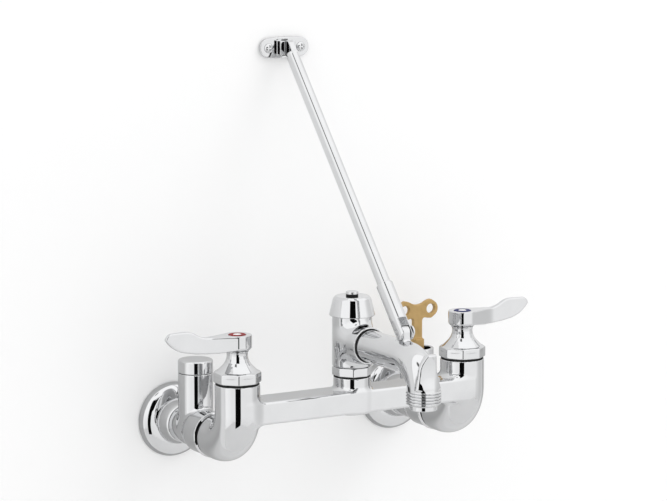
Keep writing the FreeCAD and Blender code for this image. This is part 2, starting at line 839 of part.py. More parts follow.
def cartridge_body(side, x):
    body = on_valve(f"{side}_cartridge_body", x)
    outer = s.cartridge_bore_radius - s.slip
    shaft = s.spindle_radius + s.slip
    spin(body, [(s.disc_room_radius, seal_top), (outer, seal_top), (outer, cartridge_flange_low),
                (s.cartridge_flange_radius, cartridge_flange_low),
                (s.cartridge_flange_radius, cartridge_flange_high),
                (s.cartridge_neck_radius, cartridge_flange_high),
                (s.cartridge_neck_radius, s.cartridge_neck_top), (shaft, s.cartridge_neck_top),
                (shaft, disc_room_top), (s.disc_room_radius, disc_room_top)])
    slab(body, "YZ_Plane", [Circle(0, s.bridge_bore_height, s.bridge_bore_radius - s.slip * 4)],
         -1 * outer, outer, cut=True)
    keep(body)


def port_disc(name, x, radius, low, high):
    """A ceramic disc with two water ports."""
    body = on_valve(name, x)
    spin(body, rod(radius, low, high))
    ports = [Circle(0, s.disc_port_offset * sign, s.disc_port_radius) for sign in (-1, 1)]
    slab(body, "XY_Plane", ports, low, high, cut=True)
    return body


def fixed_discs():
    discs = []
    for side, sign in SIDES.items():
        radius = s.disc_room_radius - s.slip
        discs.append(port_disc(f"{side}_fixed_disc", half_spacing * sign, radius,
                               seal_top, seal_top + s.disc_width))
    group("fixed_discs", discs)


def moving_disc(side, x):
    radius = s.disc_room_radius - s.slip * 2
    keep(port_disc(f"{side}_moving_disc", x, radius, moving_disc_low, moving_disc_high))


def spindle(side, x):
    body = on_valve(f"{side}_spindle", x)
    drive = s.disc_room_radius - s.slip * 2
    drive_top = disc_room_top - s.slip
    hole_floor = s.spindle_top - s.screw_hole_depth
    hole = s.handle_screw_radius + s.slip / 2
    spin(body, [(0, moving_disc_high), (drive, moving_disc_high), (drive, drive_top),
                (s.spindle_radius, drive_top), (s.spindle_radius, s.spindle_shoulder),
                (s.spindle_spline_radius, s.spindle_shoulder), (s.spindle_spline_radius, s.spindle_top),
                (hole, s.spindle_top), (hole, hole_floor), (0, hole_floor)])
    keep(body)


def bonnet(side, x):
    body = on_valve(f"{side}_bonnet", x)
    seat = s.bonnet_seat
    octagon_top = s.bonnet_octagon_top
    slab(body, "XY_Plane", [octagon(s.bonnet_octagon_radius, BONNET_TURN[side])], seat, octagon_top)
    flat_radius = s.bonnet_octagon_radius * FLAT_SHARE
    beyond = s.bonnet_octagon_radius + s.slip
    spin(body, [(flat_radius, octagon_top), (beyond, octagon_top - s.octagon_chamfer),
                (beyond, octagon_top + s.slip), (flat_radius, octagon_top + s.slip)], cut=True)
    spin(body, [(flat_radius, seat), (flat_radius, seat - s.slip), (beyond, seat - s.slip),
                (beyond, seat + s.octagon_chamfer)], cut=True)
    shaft = s.spindle_radius + s.slip
    spin(body, [(shaft, octagon_top), (flat_radius, octagon_top),
                (s.bonnet_cone_radius, s.bonnet_cone_top, -1 * s.bonnet_sweep),
                (s.bonnet_neck_radius, s.bonnet_neck_height, -1 * s.bonnet_flare),
                (s.bonnet_lip_radius, s.bonnet_top), (shaft, s.bonnet_top)])
    skirt = s.bonnet_bore_radius - s.slip
    spin(body, ring(s.bonnet_cavity_radius, skirt, cartridge_flange_high, seat))
    spin(body, rod(s.bonnet_cavity_radius, seat, s.bonnet_cavity_top), cut=True)
    spin(body, rod(shaft, s.bonnet_cavity_top, octagon_top), cut=True)
    keep(body)


def lever(side, x, turn):
    body = new_body(f"{side}_lever", x=x, y=-1 * s.valve_reach, turn=turn)
    hub = s.hub_radius
    thin = s.lever_thickness / 2
    tip = s.lever_tip_thickness / 2
    # Side view of the blade, then everything outside its plan view is cut away.
    dip = s.lever_rise_end - s.lever_shank_end
    side_view = [(0, s.hub_chamfer_top), (s.lever_rise_end, s.lever_belly, s.lever_belly_bend),
                 (s.lever_reach, s.lever_tip_height, s.lever_tip_bend),
                 (s.lever_reach - s.lever_thickness, s.lever_crest - s.slip),
                 (s.lever_rise_end, s.lever_crest, s.lever_crest_bend),
                 (s.lever_rise_end - dip / 2, (s.lever_crest + s.hub_top) / 2, -1 * dip),
                 (s.lever_shank_end, s.hub_top), (0, s.hub_top)]
    slab(body, "XZ_Plane", [side_view], -1 * hub, hub)
    far = s.lever_reach + s.slip
    beside = hub + s.slip
    root = s.lever_root_width / 2
    for sign in (-1, 1):
        plan_cut = [(s.lever_root_reach, beside * sign),
                    (s.lever_root_reach, root * sign, s.lever_shank_end * sign),
                    (s.lever_shank_end, thin * sign), (far, tip * sign), (far, beside * sign)]
        slab(body, "XY_Plane", [plan_cut], s.hub_bottom, s.lever_crest + s.slip, cut=True)
    spin(body, [(0, s.hub_bottom), (s.hub_foot_radius, s.hub_bottom), (hub, s.hub_chamfer_top),
                (hub, s.hub_top), (0, s.hub_top)])
    spin(body, rod(s.spindle_spline_radius + s.pin_play, s.hub_bottom, s.hub_pocket_floor), cut=True)
    spin(body, rod(s.plug_radius + s.pin_play * 2, s.hub_pocket_floor, s.hub_top), cut=True)
    keep(body)


screw_head_low = s.hub_pocket_floor
screw_head_high = screw_head_low + s.handle_screw_head_height
plug_low = screw_head_high + s.slip
plug_high = plug_low + s.plug_width


def handle_screw(side, x):
    body = on_valve(f"{side}_handle_screw", x)
    tip = s.spindle_top - s.screw_hole_depth + s.slip
    spin(body, [(0, tip), (s.handle_screw_radius, tip), (s.handle_screw_radius, screw_head_low),
                (s.spindle_spline_radius + s.slip, screw_head_low),
                (s.spindle_spline_radius + s.slip, screw_head_high), (0, screw_head_high)])
    cross_slots(body, screw_head_high, cut_down=True)
    keep(body)


def cross_slots(body, face, cut_down):
    """The crossed recess in a screw head, whose face lies at a height along the body's Z axis."""
    long = s.screw_slot_length / 2
    narrow = s.screw_slot_width / 2
    low, high = (face - s.screw_slot_depth, face) if cut_down else (face, face + s.screw_slot_depth)
    slab(body, "XY_Plane", [box(-1 * long, long, -1 * narrow, narrow)], low, high, cut=True)
    slab(body, "XY_Plane", [box(-1 * narrow, narrow, -1 * long, long)], low, high, cut=True)


def index_plug(side, x):
    body = on_valve(f"{side}_index_plug", x)
    spin(body, [(0, plug_low), (s.plug_radius, plug_low), (s.plug_radius, plug_high),
                (s.plug_dot_radius, plug_high), (s.plug_dot_radius, s.plug_face), (0, s.plug_face)])
    keep(body)


def index_ring(side, x):
    body = on_valve(f"{side}_index_ring", x)
    spin(body, ring(s.plug_dot_radius + s.pin_play, s.plug_radius, plug_high, s.plug_face))
    keep(body)


def on_breaker(name, turn=UPRIGHT):
    return new_body(name, y=-1 * s.valve_reach, turn=turn)


washer_top = s.boss_nipple_top + s.breaker_washer_width
breaker_lip_low = s.breaker_nut_top - s.breaker_nut_lip


def breaker_nut():
    body = on_breaker("breaker_nut")
    bottom = s.boss_top + s.slip
    top = s.breaker_nut_top
    thread = s.boss_nipple_radius + s.slip
    hole = s.breaker_tail_radius + s.slip
    slab(body, "XY_Plane", [octagon(s.breaker_nut_radius, BREAKER_NUT_TURN)], bottom, top)
    spin(body, [(0, bottom), (thread, bottom), (thread, breaker_lip_low), (hole, breaker_lip_low),
                (hole, top), (0, top)], cut=True)
    flat_radius = s.breaker_nut_radius * FLAT_SHARE
    beyond = s.breaker_nut_radius + s.slip
    spin(body, [(flat_radius, top), (beyond, top - s.octagon_chamfer), (beyond, top + s.slip),
                (flat_radius, top + s.slip)], cut=True)
    keep(body)


def breaker_washer():
    body = on_breaker("breaker_washer")
    spin(body, ring(s.inlet_seat_bore, s.boss_nipple_radius - s.slip, s.boss_nipple_top, washer_top))
    keep(body)


def breaker_body():
    body = on_breaker("vacuum_breaker_body", turn=ROOMWARD)
    tail = s.breaker_tail_radius
    spin(body, [(0, washer_top), (s.breaker_collar_radius, washer_top),
                (s.breaker_collar_radius, breaker_lip_low), (tail, breaker_lip_low),
                (tail, s.breaker_shoulder), (s.breaker_radius, s.breaker_shoulder),
                (s.breaker_radius, s.breaker_top), (0, s.breaker_top)])
    socket_front = s.socket_length
    slab(body, "XZ_Plane", [Circle(0, s.spout_height, s.socket_radius)], 0, socket_front)
    spin(body, rod(s.inlet_seat_bore, washer_top, s.inlet_seat_height), cut=True)
    spin(body, rod(s.breaker_chamber_radius, s.inlet_seat_height, s.breaker_top), cut=True)
    slab(body, "XZ_Plane", [Circle(0, s.spout_height, s.socket_bore_radius)], 0, socket_front, cut=True)
    keep(body)


poppet_low = s.inlet_seat_height + s.seat_gap
poppet_disc_low = poppet_low + s.poppet_seal_width
poppet_disc_high = poppet_disc_low + s.poppet_width
vent_nozzle_low = poppet_disc_high + s.poppet_travel + s.seat_gap


def poppet():
    body = on_breaker("poppet")
    skirt = s.poppet_skirt_radius
    inside = skirt - s.poppet_skirt_wall
    skirt_low = poppet_low - s.poppet_skirt_length
    spin(body, [(0, poppet_disc_low), (inside, poppet_disc_low), (inside, skirt_low), (skirt, skirt_low),
                (skirt, poppet_disc_low), (s.poppet_radius, poppet_disc_low),
                (s.poppet_radius, poppet_disc_high), (0, poppet_disc_high)])
    window = (skirt_low + poppet_low) / 2
    slab(body, "YZ_Plane", [Circle(0, window, s.poppet_window_radius)], -1 * skirt, skirt, cut=True)
    slab(body, "XZ_Plane", [Circle(0, window, s.poppet_window_radius)], -1 * skirt, skirt, cut=True)
    keep(body)


def poppet_seal():
    body = on_breaker("poppet_seal")
    spin(body, ring(s.poppet_skirt_radius + s.pin_play, s.poppet_radius, poppet_low, poppet_disc_low))
    keep(body)


vent_flange_low = s.breaker_top - s.vent_flange_height
vent_web_top = vent_flange_low + s.vent_web_width


def vent_bonnet():
    body = on_breaker("vent_bonnet")
    flange = s.breaker_chamber_radius - s.slip
    top = s.breaker_top - s.slip
    spin(body, [(0, vent_flange_low), (s.vent_nozzle_bore, vent_flange_low),
                (s.vent_nozzle_bore, vent_nozzle_low), (s.vent_nozzle_radius, vent_nozzle_low),
                (s.vent_nozzle_radius, vent_flange_low), (flange, vent_flange_low), (flange, top),
                (s.vent_nozzle_radius, top), (s.vent_nozzle_radius, vent_web_top),
                (s.vent_post_radius, vent_web_top), (s.vent_post_radius, s.vent_post_top),
                (0, s.vent_post_top)])
    holes = []
    count = int(SIZES["vent_hole_count"])
    for step in range(count):
        angle = math.radians(360 * step / count)
        circle = s.vent_hole_circle
        holes.append(Circle(circle * round(math.cos(angle), 6), circle * round(math.sin(angle), 6),
                            s.vent_hole_radius))
    slab(body, "XY_Plane", holes, vent_flange_low, vent_web_top, cut=True)
    spin(body, rod(s.hood_screw_radius + s.pin_play, vent_web_top, s.vent_post_top), cut=True)
    keep(body)


def vent_hood():
    body = on_breaker("vent_hood")
    roof = s.hood_top - s.hood_wall * 1.5
    inner_rim = s.hood_rim_radius - s.hood_wall
    inner_shoulder = s.hood_shoulder_radius - s.hood_wall
    boss = s.vent_post_radius + s.slip * 2
    hole = s.hood_screw_radius + s.pin_play
    spin(body, [(hole, s.vent_post_top), (boss, s.vent_post_top), (boss, roof), (inner_shoulder, roof),
                (inner_rim, s.hood_rim_height), (s.hood_rim_radius, s.hood_rim_height),
                (s.hood_shoulder_radius, s.hood_shoulder_height, s.hood_wall * 2),
                (s.hood_shoulder_radius - s.hood_wall, s.hood_top), (hole, s.hood_top)])
    keep(body)


def hood_screw():
    body = on_breaker("hood_screw")
    head_top = s.hood_top + s.hood_screw_head_height
    tip = vent_web_top + s.slip
    spin(body, [(0, tip), (s.hood_screw_radius, tip), (s.hood_screw_radius, s.hood_top),
                (s.hood_screw_head, s.hood_top), (s.hood_screw_head, head_top), (0, head_top)])
    round_rims(body, [(s.hood_screw_head, head_top)], s.slip * 2)
    keep(body)


spout_face = socket_reach + s.slip
plug_end = spout_face - s.spout_plug_length


def spout():
    """The spout's own origin lies on the outlet's axis."""
    body = new_body("spout", y=-1 * outlet_reach, turn=ROOMWARD)
    face = spout_face - outlet_reach
    end = plug_end - outlet_reach
    lug = -1 * s.lug_setback
    elbow(body, 0, (face, s.spout_height, 0, s.neck_bottom - s.spout_bend), s.spout_bend, s.spout_radius)
    plug = s.socket_bore_radius - s.slip
    slab(body, "XZ_Plane", [Circle(0, s.spout_height, plug)], end, face)
    setback = -1 * s.pail_stop_setback
    middle = s.spout_height - s.spout_radius
    slab(body, "XY_Plane", [Circle(0, setback, s.pail_stop_radius)],
         middle, s.spout_height + s.pail_stop_rise)
    spin(body, rod(s.spout_radius + s.slip, s.outlet_bottom - s.spout_bend, s.neck_bottom), cut=True)
    spin(body, hose_thread_outline())
    half = s.lug_thickness / 2
    lug_foot = s.spout_height + s.spout_radius / 2
    slab(body, "YZ_Plane", [[(lug - s.lug_radius, lug_foot), (lug + s.lug_radius, lug_foot),
                             (lug + s.lug_radius, lug_height, s.lug_radius * HALF_TURN),
                             (lug - s.lug_radius, lug_height)]], -1 * half, half)
    slab(body, "YZ_Plane", [Circle(lug, lug_height, s.pin_radius + s.pin_play)], -1 * half, half, cut=True)
    groove = s.socket_bore_radius - s.seat_gap * 2 - s.spout_seal_section * 2
    groove_low = end + s.spout_seal_setback - s.spout_seal_section - s.seat_gap
    groove_high = end + s.spout_seal_setback + s.spout_seal_section + s.seat_gap
    rings = [Circle(0, s.spout_height, plug + s.slip), Circle(0, s.spout_height, groove)]
    slab(body, "XZ_Plane", rings, groove_low, groove_high, cut=True)
    elbow(body, 0, (end, s.spout_height, 0, s.outlet_bottom), s.spout_bend, s.spout_bore_radius, cut=True)
    keep(body)


# Where one crest's flank starts and ends and the next flank starts and ends, as shares of the pitch.
CREST = (0.2, 0.45, 0.65, 0.9)
THREAD_RUNOUT = 0.1


def hose_thread_outline():
    """Core, ridges and plain end of the outlet, from the top down."""
    pitch = s.hose_thread_pitch
    top = s.neck_bottom
    outline = [(0, top), (s.hose_thread_core, top)]
    turns = int(SIZES["hose_thread_turns"])
    for turn in range(turns):
        ridge_top = top - pitch * turn
        radii = (s.hose_thread_core, s.hose_thread_radius, s.hose_thread_radius, s.hose_thread_core)
        outline += [(radius, ridge_top - pitch * share) for radius, share in zip(radii, CREST)]
    thread_end = top - pitch * (turns + THREAD_RUNOUT)
    outline += [(s.hose_thread_core, thread_end), (s.outlet_end_radius, thread_end),
                (s.outlet_end_radius, s.outlet_bottom), (0, s.outlet_bottom)]
    return outline


def spout_seal():
    body = new_body("spout_seal", z=s.spout_height, turn=OUTWARD)
    sketch = new_sketch(body, "XZ_Plane")
    centre = s.socket_bore_radius - s.seat_gap - s.spout_seal_section
    draw(sketch, [Circle(centre, plug_end + s.spout_seal_setback, s.spout_seal_section)])
    seal = body.newObject("PartDesign::Revolution", "seal_ring")
    seal.Profile = sketch
    seal.ReferenceAxis = (sketch, ["V_Axis"])
    seal.Angle = 360
    body.Tip = seal
    keep(body)


brace_run = lug_reach - s.rod_end_reach
brace_rise = s.bracket_height + s.rod_end_rise - lug_height
BRACE_LENGTH = Size(math.hypot(brace_run.value, brace_rise.value),
                    f"sqrt({brace_run.text} ^ 2 + {brace_rise.text} ^ 2)")
BRACE_LEAN = Size(math.degrees(math.atan2(brace_run.value, brace_rise.value)),
                  f"atan2({brace_run.text}; {brace_rise.text})")
# The eye stands off the rod's line, towards the wall, and its pin goes through the bracket's ears.
lean_sine = brace_run / BRACE_LENGTH
lean_cosine = brace_rise / BRACE_LENGTH
bracket_pin_reach = s.rod_end_reach - s.eye_rise * lean_sine - s.eye_inset * lean_cosine
bracket_pin_rise = s.rod_end_rise + s.eye_rise * lean_cosine - s.eye_inset * lean_sine


def on_brace(label):
    """A body whose own origin is the lower pin and whose Z runs up the rod's middle."""
    lean = Rotation(Vector(-1, 0, 0), BRACE_LEAN.value)
    body = new_body(label, y=-1 * lug_reach, z=lug_height, turn=lean)
    body.setExpression("Placement.Rotation.Angle", BRACE_LEAN.text)
    return body


def brace_fork():
    body = on_brace("brace_fork")
    wide = s.fork_radius
    foot = s.fork_foot
    beside = wide + s.slip
    spin(body, rod(wide, -1 * foot, s.fork_length))
    # The foot is rounded about the pin.
    below = [(-1 * foot, 0, foot * HALF_TURN), (foot, 0), (beside, 0), (beside, -1 * beside),
             (-1 * beside, -1 * beside), (-1 * beside, 0)]
    slab(body, "YZ_Plane", [below], -1 * beside, beside, cut=True)
    for low, high in ((-1 * beside, -1 * s.fork_flat), (s.fork_flat, beside)):
        flank = box(-1 * beside, beside, -1 * beside, s.fork_flat_length)
        slab(body, "YZ_Plane", [flank], low, high, cut=True)
    half = s.fork_slot / 2
    slab(body, "XZ_Plane", [box(-1 * half, half, -1 * foot, s.fork_slot_depth)], -1 * wide, wide, cut=True)
    slab(body, "YZ_Plane", [Circle(0, 0, s.pin_radius + s.pin_play)], -1 * wide, wide, cut=True)
    spin(body, rod(s.rod_radius + s.slip, s.fork_bore_floor, s.fork_length), cut=True)
    keep(body)


def brace_rod():
    body = on_brace("brace_rod")
    end = BRACE_LENGTH
    wide = s.rod_radius
    shoulder = end - s.rod_tongue_length
    spin(body, rod(wide, s.rod_bottom, shoulder))
    half = s.rod_tongue_thickness / 2
    slab(body, "YZ_Plane", [[(-1 * wide, shoulder), (wide, shoulder), (wide, end, wide * HALF_TURN),
                             (-1 * wide, end)]], -1 * half, half)
    eye_height = end + s.eye_rise
    slab(body, "YZ_Plane", [Circle(s.eye_inset, eye_height, s.eye_radius)], -1 * half, half)
    hole = Circle(s.eye_inset, eye_height, s.bracket_pin_radius + s.pin_play)
    slab(body, "YZ_Plane", [hole], -1 * half, half, cut=True)
    keep(body)


def fork_pin():
    body = new_body("fork_pin", y=-1 * lug_reach, z=lug_height)
    end = s.fork_flat
    slab(body, "YZ_Plane", [Circle(0, 0, s.pin_radius)], -1 * end, end)
    slab(body, "YZ_Plane", [Circle(0, 0, s.fork_pin_head_radius)], end, end + s.fork_pin_head_width)
    keep(body)


def wall_bracket():
    body = new_body("wall_bracket", z=s.bracket_height, turn=ROOMWARD)
    wide = s.bracket_end_width / 2
    tall = s.bracket_end_depth / 2
    crown = s.bracket_depth / 2 - tall
    edge_arc = (wide * wide + crown * crown) / (crown * 2)
    bulge = s.bracket_length / 2 - wide
    end_arc = (tall * tall + bulge * bulge) / (bulge * 2)
    plate = [(wide, -1 * tall, end_arc), (wide, tall, edge_arc),
             (-1 * wide, tall, end_arc), (-1 * wide, -1 * tall, edge_arc)]
    slab(body, "XZ_Plane", [plate], 0, s.bracket_plate)
    outer = s.ear_width / 2
    slab(body, "YZ_Plane", [box(0, s.ear_front, -1 * s.ear_bottom, s.ear_top)], -1 * outer, outer)
    # The slot between the ears goes on through the plate as a window.
    inner = s.rod_tongue_thickness / 2 + s.slip
    window = s.ear_window / 2
    slab(body, "YZ_Plane", [box(0, s.ear_front, -1 * window, window)], -1 * inner, inner, cut=True)
    pin_hole = Circle(bracket_pin_reach, bracket_pin_rise, s.bracket_pin_radius + s.pin_play)
    # The pin's hole stops short of one ear's outer face.
    slab(body, "YZ_Plane", [pin_hole], -1 * outer, outer - s.bracket_pin_inset, cut=True)
    holes = [Circle(s.bracket_screw_offset * sign, 0, s.bracket_screw_hole) for sign in (-1, 1)]
    slab(body, "XZ_Plane", holes, 0, s.bracket_plate, cut=True)
    keep(body)


def bracket_pin():
    body = new_body("bracket_pin", y=-1 * bracket_pin_reach, z=s.bracket_height + bracket_pin_rise)
    end = s.ear_width / 2
    slab(body, "YZ_Plane", [Circle(0, 0, s.bracket_pin_radius)], s.bracket_pin_inset + s.pin_play - end, end)
    keep(body)


def bracket_screws():
    screws = []
    for side, sign in SIDES.items():
        body = new_body(f"{side}_side_bracket_screw", x=s.bracket_screw_offset * sign,
                        z=s.bracket_height, turn=OUTWARD)
        head_low = s.bracket_plate
        head_high = head_low + s.bracket_screw_head_height
        tip = s.bracket_plate - s.bracket_screw_length
        spin(body, [(0, tip), (s.bracket_screw_radius, tip + s.bracket_screw_radius * 2),
                    (s.bracket_screw_radius, head_low), (s.bracket_screw_head, head_low),
                    (s.bracket_screw_head, head_high), (0, head_high)])
        round_rims(body, [(s.bracket_screw_head, head_high)], s.bracket_screw_head_height * 0.6)
        cross_slots(body, head_high, cut_down=True)
        screws.append(body)
    group("bracket_screws", screws)


def build():
    for side, sign in SIDES.items():
        x = half_spacing * sign
        wall_flange(side, x)
        inlet_tailpiece(side, x)
        coupling_nut(side, x)
        stop_body(side, x)
        stop_gland(side, x)
        stop_stem(side, x)
        stop_washer(side, x)
        cartridge_body(side, x)
        moving_disc(side, x)
        spindle(side, x)
        bonnet(side, x)
        lever(side, x, ROOMWARD if side == "hot" else UPRIGHT)
        handle_screw(side, x)
        index_plug(side, x)
        index_ring(side, x)
    union_washers()
    stem_seals()
    joint_gaskets()
    cartridge_seals()
    fixed_discs()
    hot_stop_cap(-1 * half_spacing)
    loose_key(half_spacing)
    mixing_body()
    breaker_nut()
    breaker_washer()
    breaker_body()
    poppet()
    poppet_seal()
    vent_bonnet()
    vent_hood()
    hood_screw()
    spout()
    spout_seal()
    brace_fork()
    fork_pin()
    brace_rod()
    wall_bracket()
    bracket_pin()
    bracket_screws()
    doc.recompute()


def check_cuts():
    """Stop if a pocket, groove or cut pipe took nothing away."""
    cutters = ("PartDesign::Pocket", "PartDesign::Groove", "PartDesign::SubtractivePipe")
    for item in doc.Objects:
        if item.TypeId in cutters and item.BaseFeature is not None:
            if item.BaseFeature.Shape.Volume - item.Shape.Volume < 1e-3:
                raise ValueError(f"{item.Name} cuts nothing")


def write_parts():
    for item in doc.Objects:
        if "Invalid" in item.State or "Error" in item.State:
            raise ValueError(f"{item.Name} did not compute: {item.State}")
    check_cuts()
    os.makedirs("parts", exist_ok=True)
    for item in sub_parts:
        if item.Shape.isNull() or not item.Shape.isValid():
            raise ValueError(f"{item.Label} has no valid shape")
        item.Shape.exportStep(f"parts/{item.Label}.step")
        print(f"{item.Label}: {len(item.Shape.Solids)} solid, {item.Shape.Volume:.0f} mm3")


build()
write_parts()
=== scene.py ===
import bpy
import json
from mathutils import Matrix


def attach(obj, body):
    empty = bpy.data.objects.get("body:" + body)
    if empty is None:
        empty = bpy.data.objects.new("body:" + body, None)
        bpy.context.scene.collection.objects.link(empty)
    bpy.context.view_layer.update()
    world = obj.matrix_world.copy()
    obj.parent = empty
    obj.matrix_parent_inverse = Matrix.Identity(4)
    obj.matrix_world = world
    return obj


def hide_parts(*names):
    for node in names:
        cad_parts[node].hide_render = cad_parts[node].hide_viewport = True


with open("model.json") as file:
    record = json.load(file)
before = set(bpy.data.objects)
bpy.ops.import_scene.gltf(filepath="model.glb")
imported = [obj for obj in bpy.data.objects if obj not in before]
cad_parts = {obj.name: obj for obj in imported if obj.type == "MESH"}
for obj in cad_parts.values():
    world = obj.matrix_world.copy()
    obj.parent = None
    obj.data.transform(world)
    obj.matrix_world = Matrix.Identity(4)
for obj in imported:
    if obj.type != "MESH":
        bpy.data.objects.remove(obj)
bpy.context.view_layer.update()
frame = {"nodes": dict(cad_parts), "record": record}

import json
import math

import bpy
import numpy as np
from mathutils import Vector

# Lengths are millimetres until a mesh is made. +X runs right along the wall, +Y into it, +Z up.
# A reach is a distance out from the wall, and a height is one above the inlets.
NODES = frame["nodes"]
BODY_OF = {node: body for body, nodes in frame["record"]["behaviour"]["bodies"].items() for node in nodes}
SLOT_OF = {row["node"]: row["material_slot"] for row in frame["record"]["subparts"]}
SIDES = {"hot": -1, "cold": 1}

HALF_SPACING = 101.6
STOP_REACH = 40.0
VALVE_REACH = 108.0
OUTLET_REACH = 213.0
SPOUT_HEIGHT = 71.0
LUG_REACH, LUG_HEIGHT = 184.1, 89.8
ROD_END_REACH, ROD_END_HEIGHT = 10.1, 291.3
BRACKET_HEIGHT = 290.2
BRACE_LENGTH = math.hypot(LUG_REACH - ROD_END_REACH, ROD_END_HEIGHT - LUG_HEIGHT)


# Materials

NOISE_RANGE = (0.3, 0.7)


def new_material(name):
    material = bpy.data.materials.new(name)
    material.use_nodes = True
    tree = material.node_tree
    return material, tree, tree.nodes["Principled BSDF"]


def map_range(tree, value, start, end, low=0.0, high=1.0, smooth=False):
    """Map start ... end to low ... high."""
    node = tree.nodes.new("ShaderNodeMapRange")
    if smooth:
        node.interpolation_type = "SMOOTHSTEP"
    for name, number in (("From Min", start), ("From Max", end), ("To Min", low), ("To Max", high)):
        node.inputs[name].default_value = number
    tree.links.new(value, node.inputs["Value"])
    return node.outputs["Result"]


def noise(tree, scale, stretch=(1.0, 1.0, 1.0)):
    """A noise texture fixed to the object, with its scale in features per metre."""
    place = tree.nodes.new("ShaderNodeTexCoord")
    mapping = tree.nodes.new("ShaderNodeMapping")
    mapping.inputs["Scale"].default_value = stretch
    texture = tree.nodes.new("ShaderNodeTexNoise")
    texture.inputs["Scale"].default_value = scale
    texture.inputs["Detail"].default_value = 3.0
    tree.links.new(place.outputs["Object"], mapping.inputs["Vector"])
    tree.links.new(mapping.outputs["Vector"], texture.inputs["Vector"])
    return texture.outputs["Fac"]


def tint(tree, factor, first, second):
    """A colour between two, by the noise."""
    ramp = tree.nodes.new("ShaderNodeValToRGB")
    for stop, position, colour in zip(ramp.color_ramp.elements, NOISE_RANGE, (first, second)):
        stop.position = position
        stop.color = (*colour, 1)
    tree.links.new(factor, ramp.inputs["Fac"])
    return ramp.outputs["Color"]


def relief(tree, shader, factor, depth):
    node = tree.nodes.new("ShaderNodeBump")
    node.inputs["Distance"].default_value = depth
    node.inputs["Strength"].default_value = 1.0
    tree.links.new(factor, node.inputs["Height"])
    tree.links.new(node.outputs["Normal"], shader.inputs["Normal"])


def finish(name, metallic, colours, rough, scales, depth, stretch=(1, 1, 1), specular=0.5):
    """A material that varies over the surface. The scales are those of its colour, roughness and relief."""
    material, tree, shader = new_material(name)
    colour_scale, rough_scale, relief_scale = scales
    shader.inputs["Metallic"].default_value = metallic
    shader.inputs["Specular IOR Level"].default_value = specular
    tree.links.new(tint(tree, noise(tree, colour_scale), *colours), shader.inputs["Base Color"])
    gloss = map_range(tree, noise(tree, rough_scale, stretch), *NOISE_RANGE, *rough)
    tree.links.new(gloss, shader.inputs["Roughness"])
    relief(tree, shader, noise(tree, relief_scale, stretch), depth)
    return material


FINISHES = {
    "chrome_plate": (1.0, ((0.62, 0.624, 0.632), (0.645, 0.65, 0.657)), (0.015, 0.05), (60, 120, 90), 1e-5),
    "chrome_steel": (1.0, ((0.61, 0.615, 0.622), (0.635, 0.64, 0.647)), (0.02, 0.06), (60, 160, 120), 6e-6),
    "raw_brass": (0.55, ((0.5, 0.335, 0.135), (0.57, 0.385, 0.165)), (0.46, 0.6), (160, 300, 900), 5e-5),
    "inner_brass": (1.0, ((0.66, 0.51, 0.26), (0.76, 0.62, 0.34)), (0.2, 0.34), (120, 500, 700), 2e-5,
                    (1, 1, 6)),
    "stainless": (1.0, ((0.58, 0.58, 0.58), (0.64, 0.64, 0.64)), (0.12, 0.24), (150, 600, 800), 1e-5),
    # black_rubber also dresses the black rings that stand in for the shade in gaps and grooves: painted
    # shade.
    "black_rubber": (0.0, ((0.012, 0.012, 0.012), (0.02, 0.02, 0.02)), (0.6, 0.8), (200, 400, 1200), 4e-5,
                     (1, 1, 1), 0.12),
    "ceramic_white": (0.0, ((0.78, 0.77, 0.73), (0.86, 0.85, 0.82)), (0.12, 0.25), (150, 300, 900), 5e-6),
    "white_plastic": (0.0, ((0.86, 0.86, 0.85), (0.9, 0.9, 0.89)), (0.2, 0.32), (150, 400, 1200), 1e-5),
    "red_plastic": (0.0, ((0.2, 0.004, 0.006), (0.28, 0.008, 0.01)), (0.4, 0.55), (150, 400, 1200), 1e-5,
                    (1, 1, 1), 0.12),
    "blue_plastic": (0.0, ((0.006, 0.009, 0.09), (0.01, 0.015, 0.13)), (0.4, 0.55), (150, 400, 1200), 1e-5,
                     (1, 1, 1), 0.12),
    "grey_plastic": (0.0, ((0.17, 0.17, 0.18), (0.22, 0.22, 0.23)), (0.35, 0.5), (150, 400, 1200), 3e-5),
}
MATERIALS = {name: finish(name, *row) for name, row in FINISHES.items()}
for node, slot_name in SLOT_OF.items():
    NODES[node].data.materials.clear()
    NODES[node].data.materials.append(MATERIALS[slot_name])


# Frames that pieces are made in

def upright(x, y, z=0.0, turn=0.0):
    """Axes and origin of a frame whose own Z points up, turned about it by degrees."""
    c, s = math.cos(math.radians(turn)), math.sin(math.radians(turn))
    return np.array([[c, s, 0], [-s, c, 0], [0, 0, 1.0]]), np.array([x, y, z], float)


def outward(x, z, reach=0.0):
    """A frame whose own Z points out from the wall and whose own Y points up."""
    return np.array([[1.0, 0, 0], [0, 0, 1], [0, -1, 0]]), np.array([x, -reach, z], float)


def sideways(x, y, z):
    """A frame whose own Z points along the wall, to the right."""
    return np.array([[0.0, 1, 0], [0, 0, 1], [1, 0, 0]]), np.array([x, y, z], float)


def on_brace():
    """A frame at the lower pin whose own Z runs up the rod and whose own Y points to the wall and down."""
    lean = math.atan2(LUG_REACH - ROD_END_REACH, ROD_END_HEIGHT - LUG_HEIGHT)
    c, s = math.cos(lean), math.sin(lean)
    return np.array([[1.0, 0, 0], [0, c, -s], [0, s, c]]), np.array([0, -LUG_REACH, LUG_HEIGHT], float)


def at_inlet(sign):
    return outward(HALF_SPACING * sign, 0)


def at_stop(sign, turn=0.0):
    return upright(HALF_SPACING * sign, -STOP_REACH, turn=turn)


def at_valve(sign, turn=0.0):
    return upright(HALF_SPACING * sign, -VALVE_REACH, turn=turn)


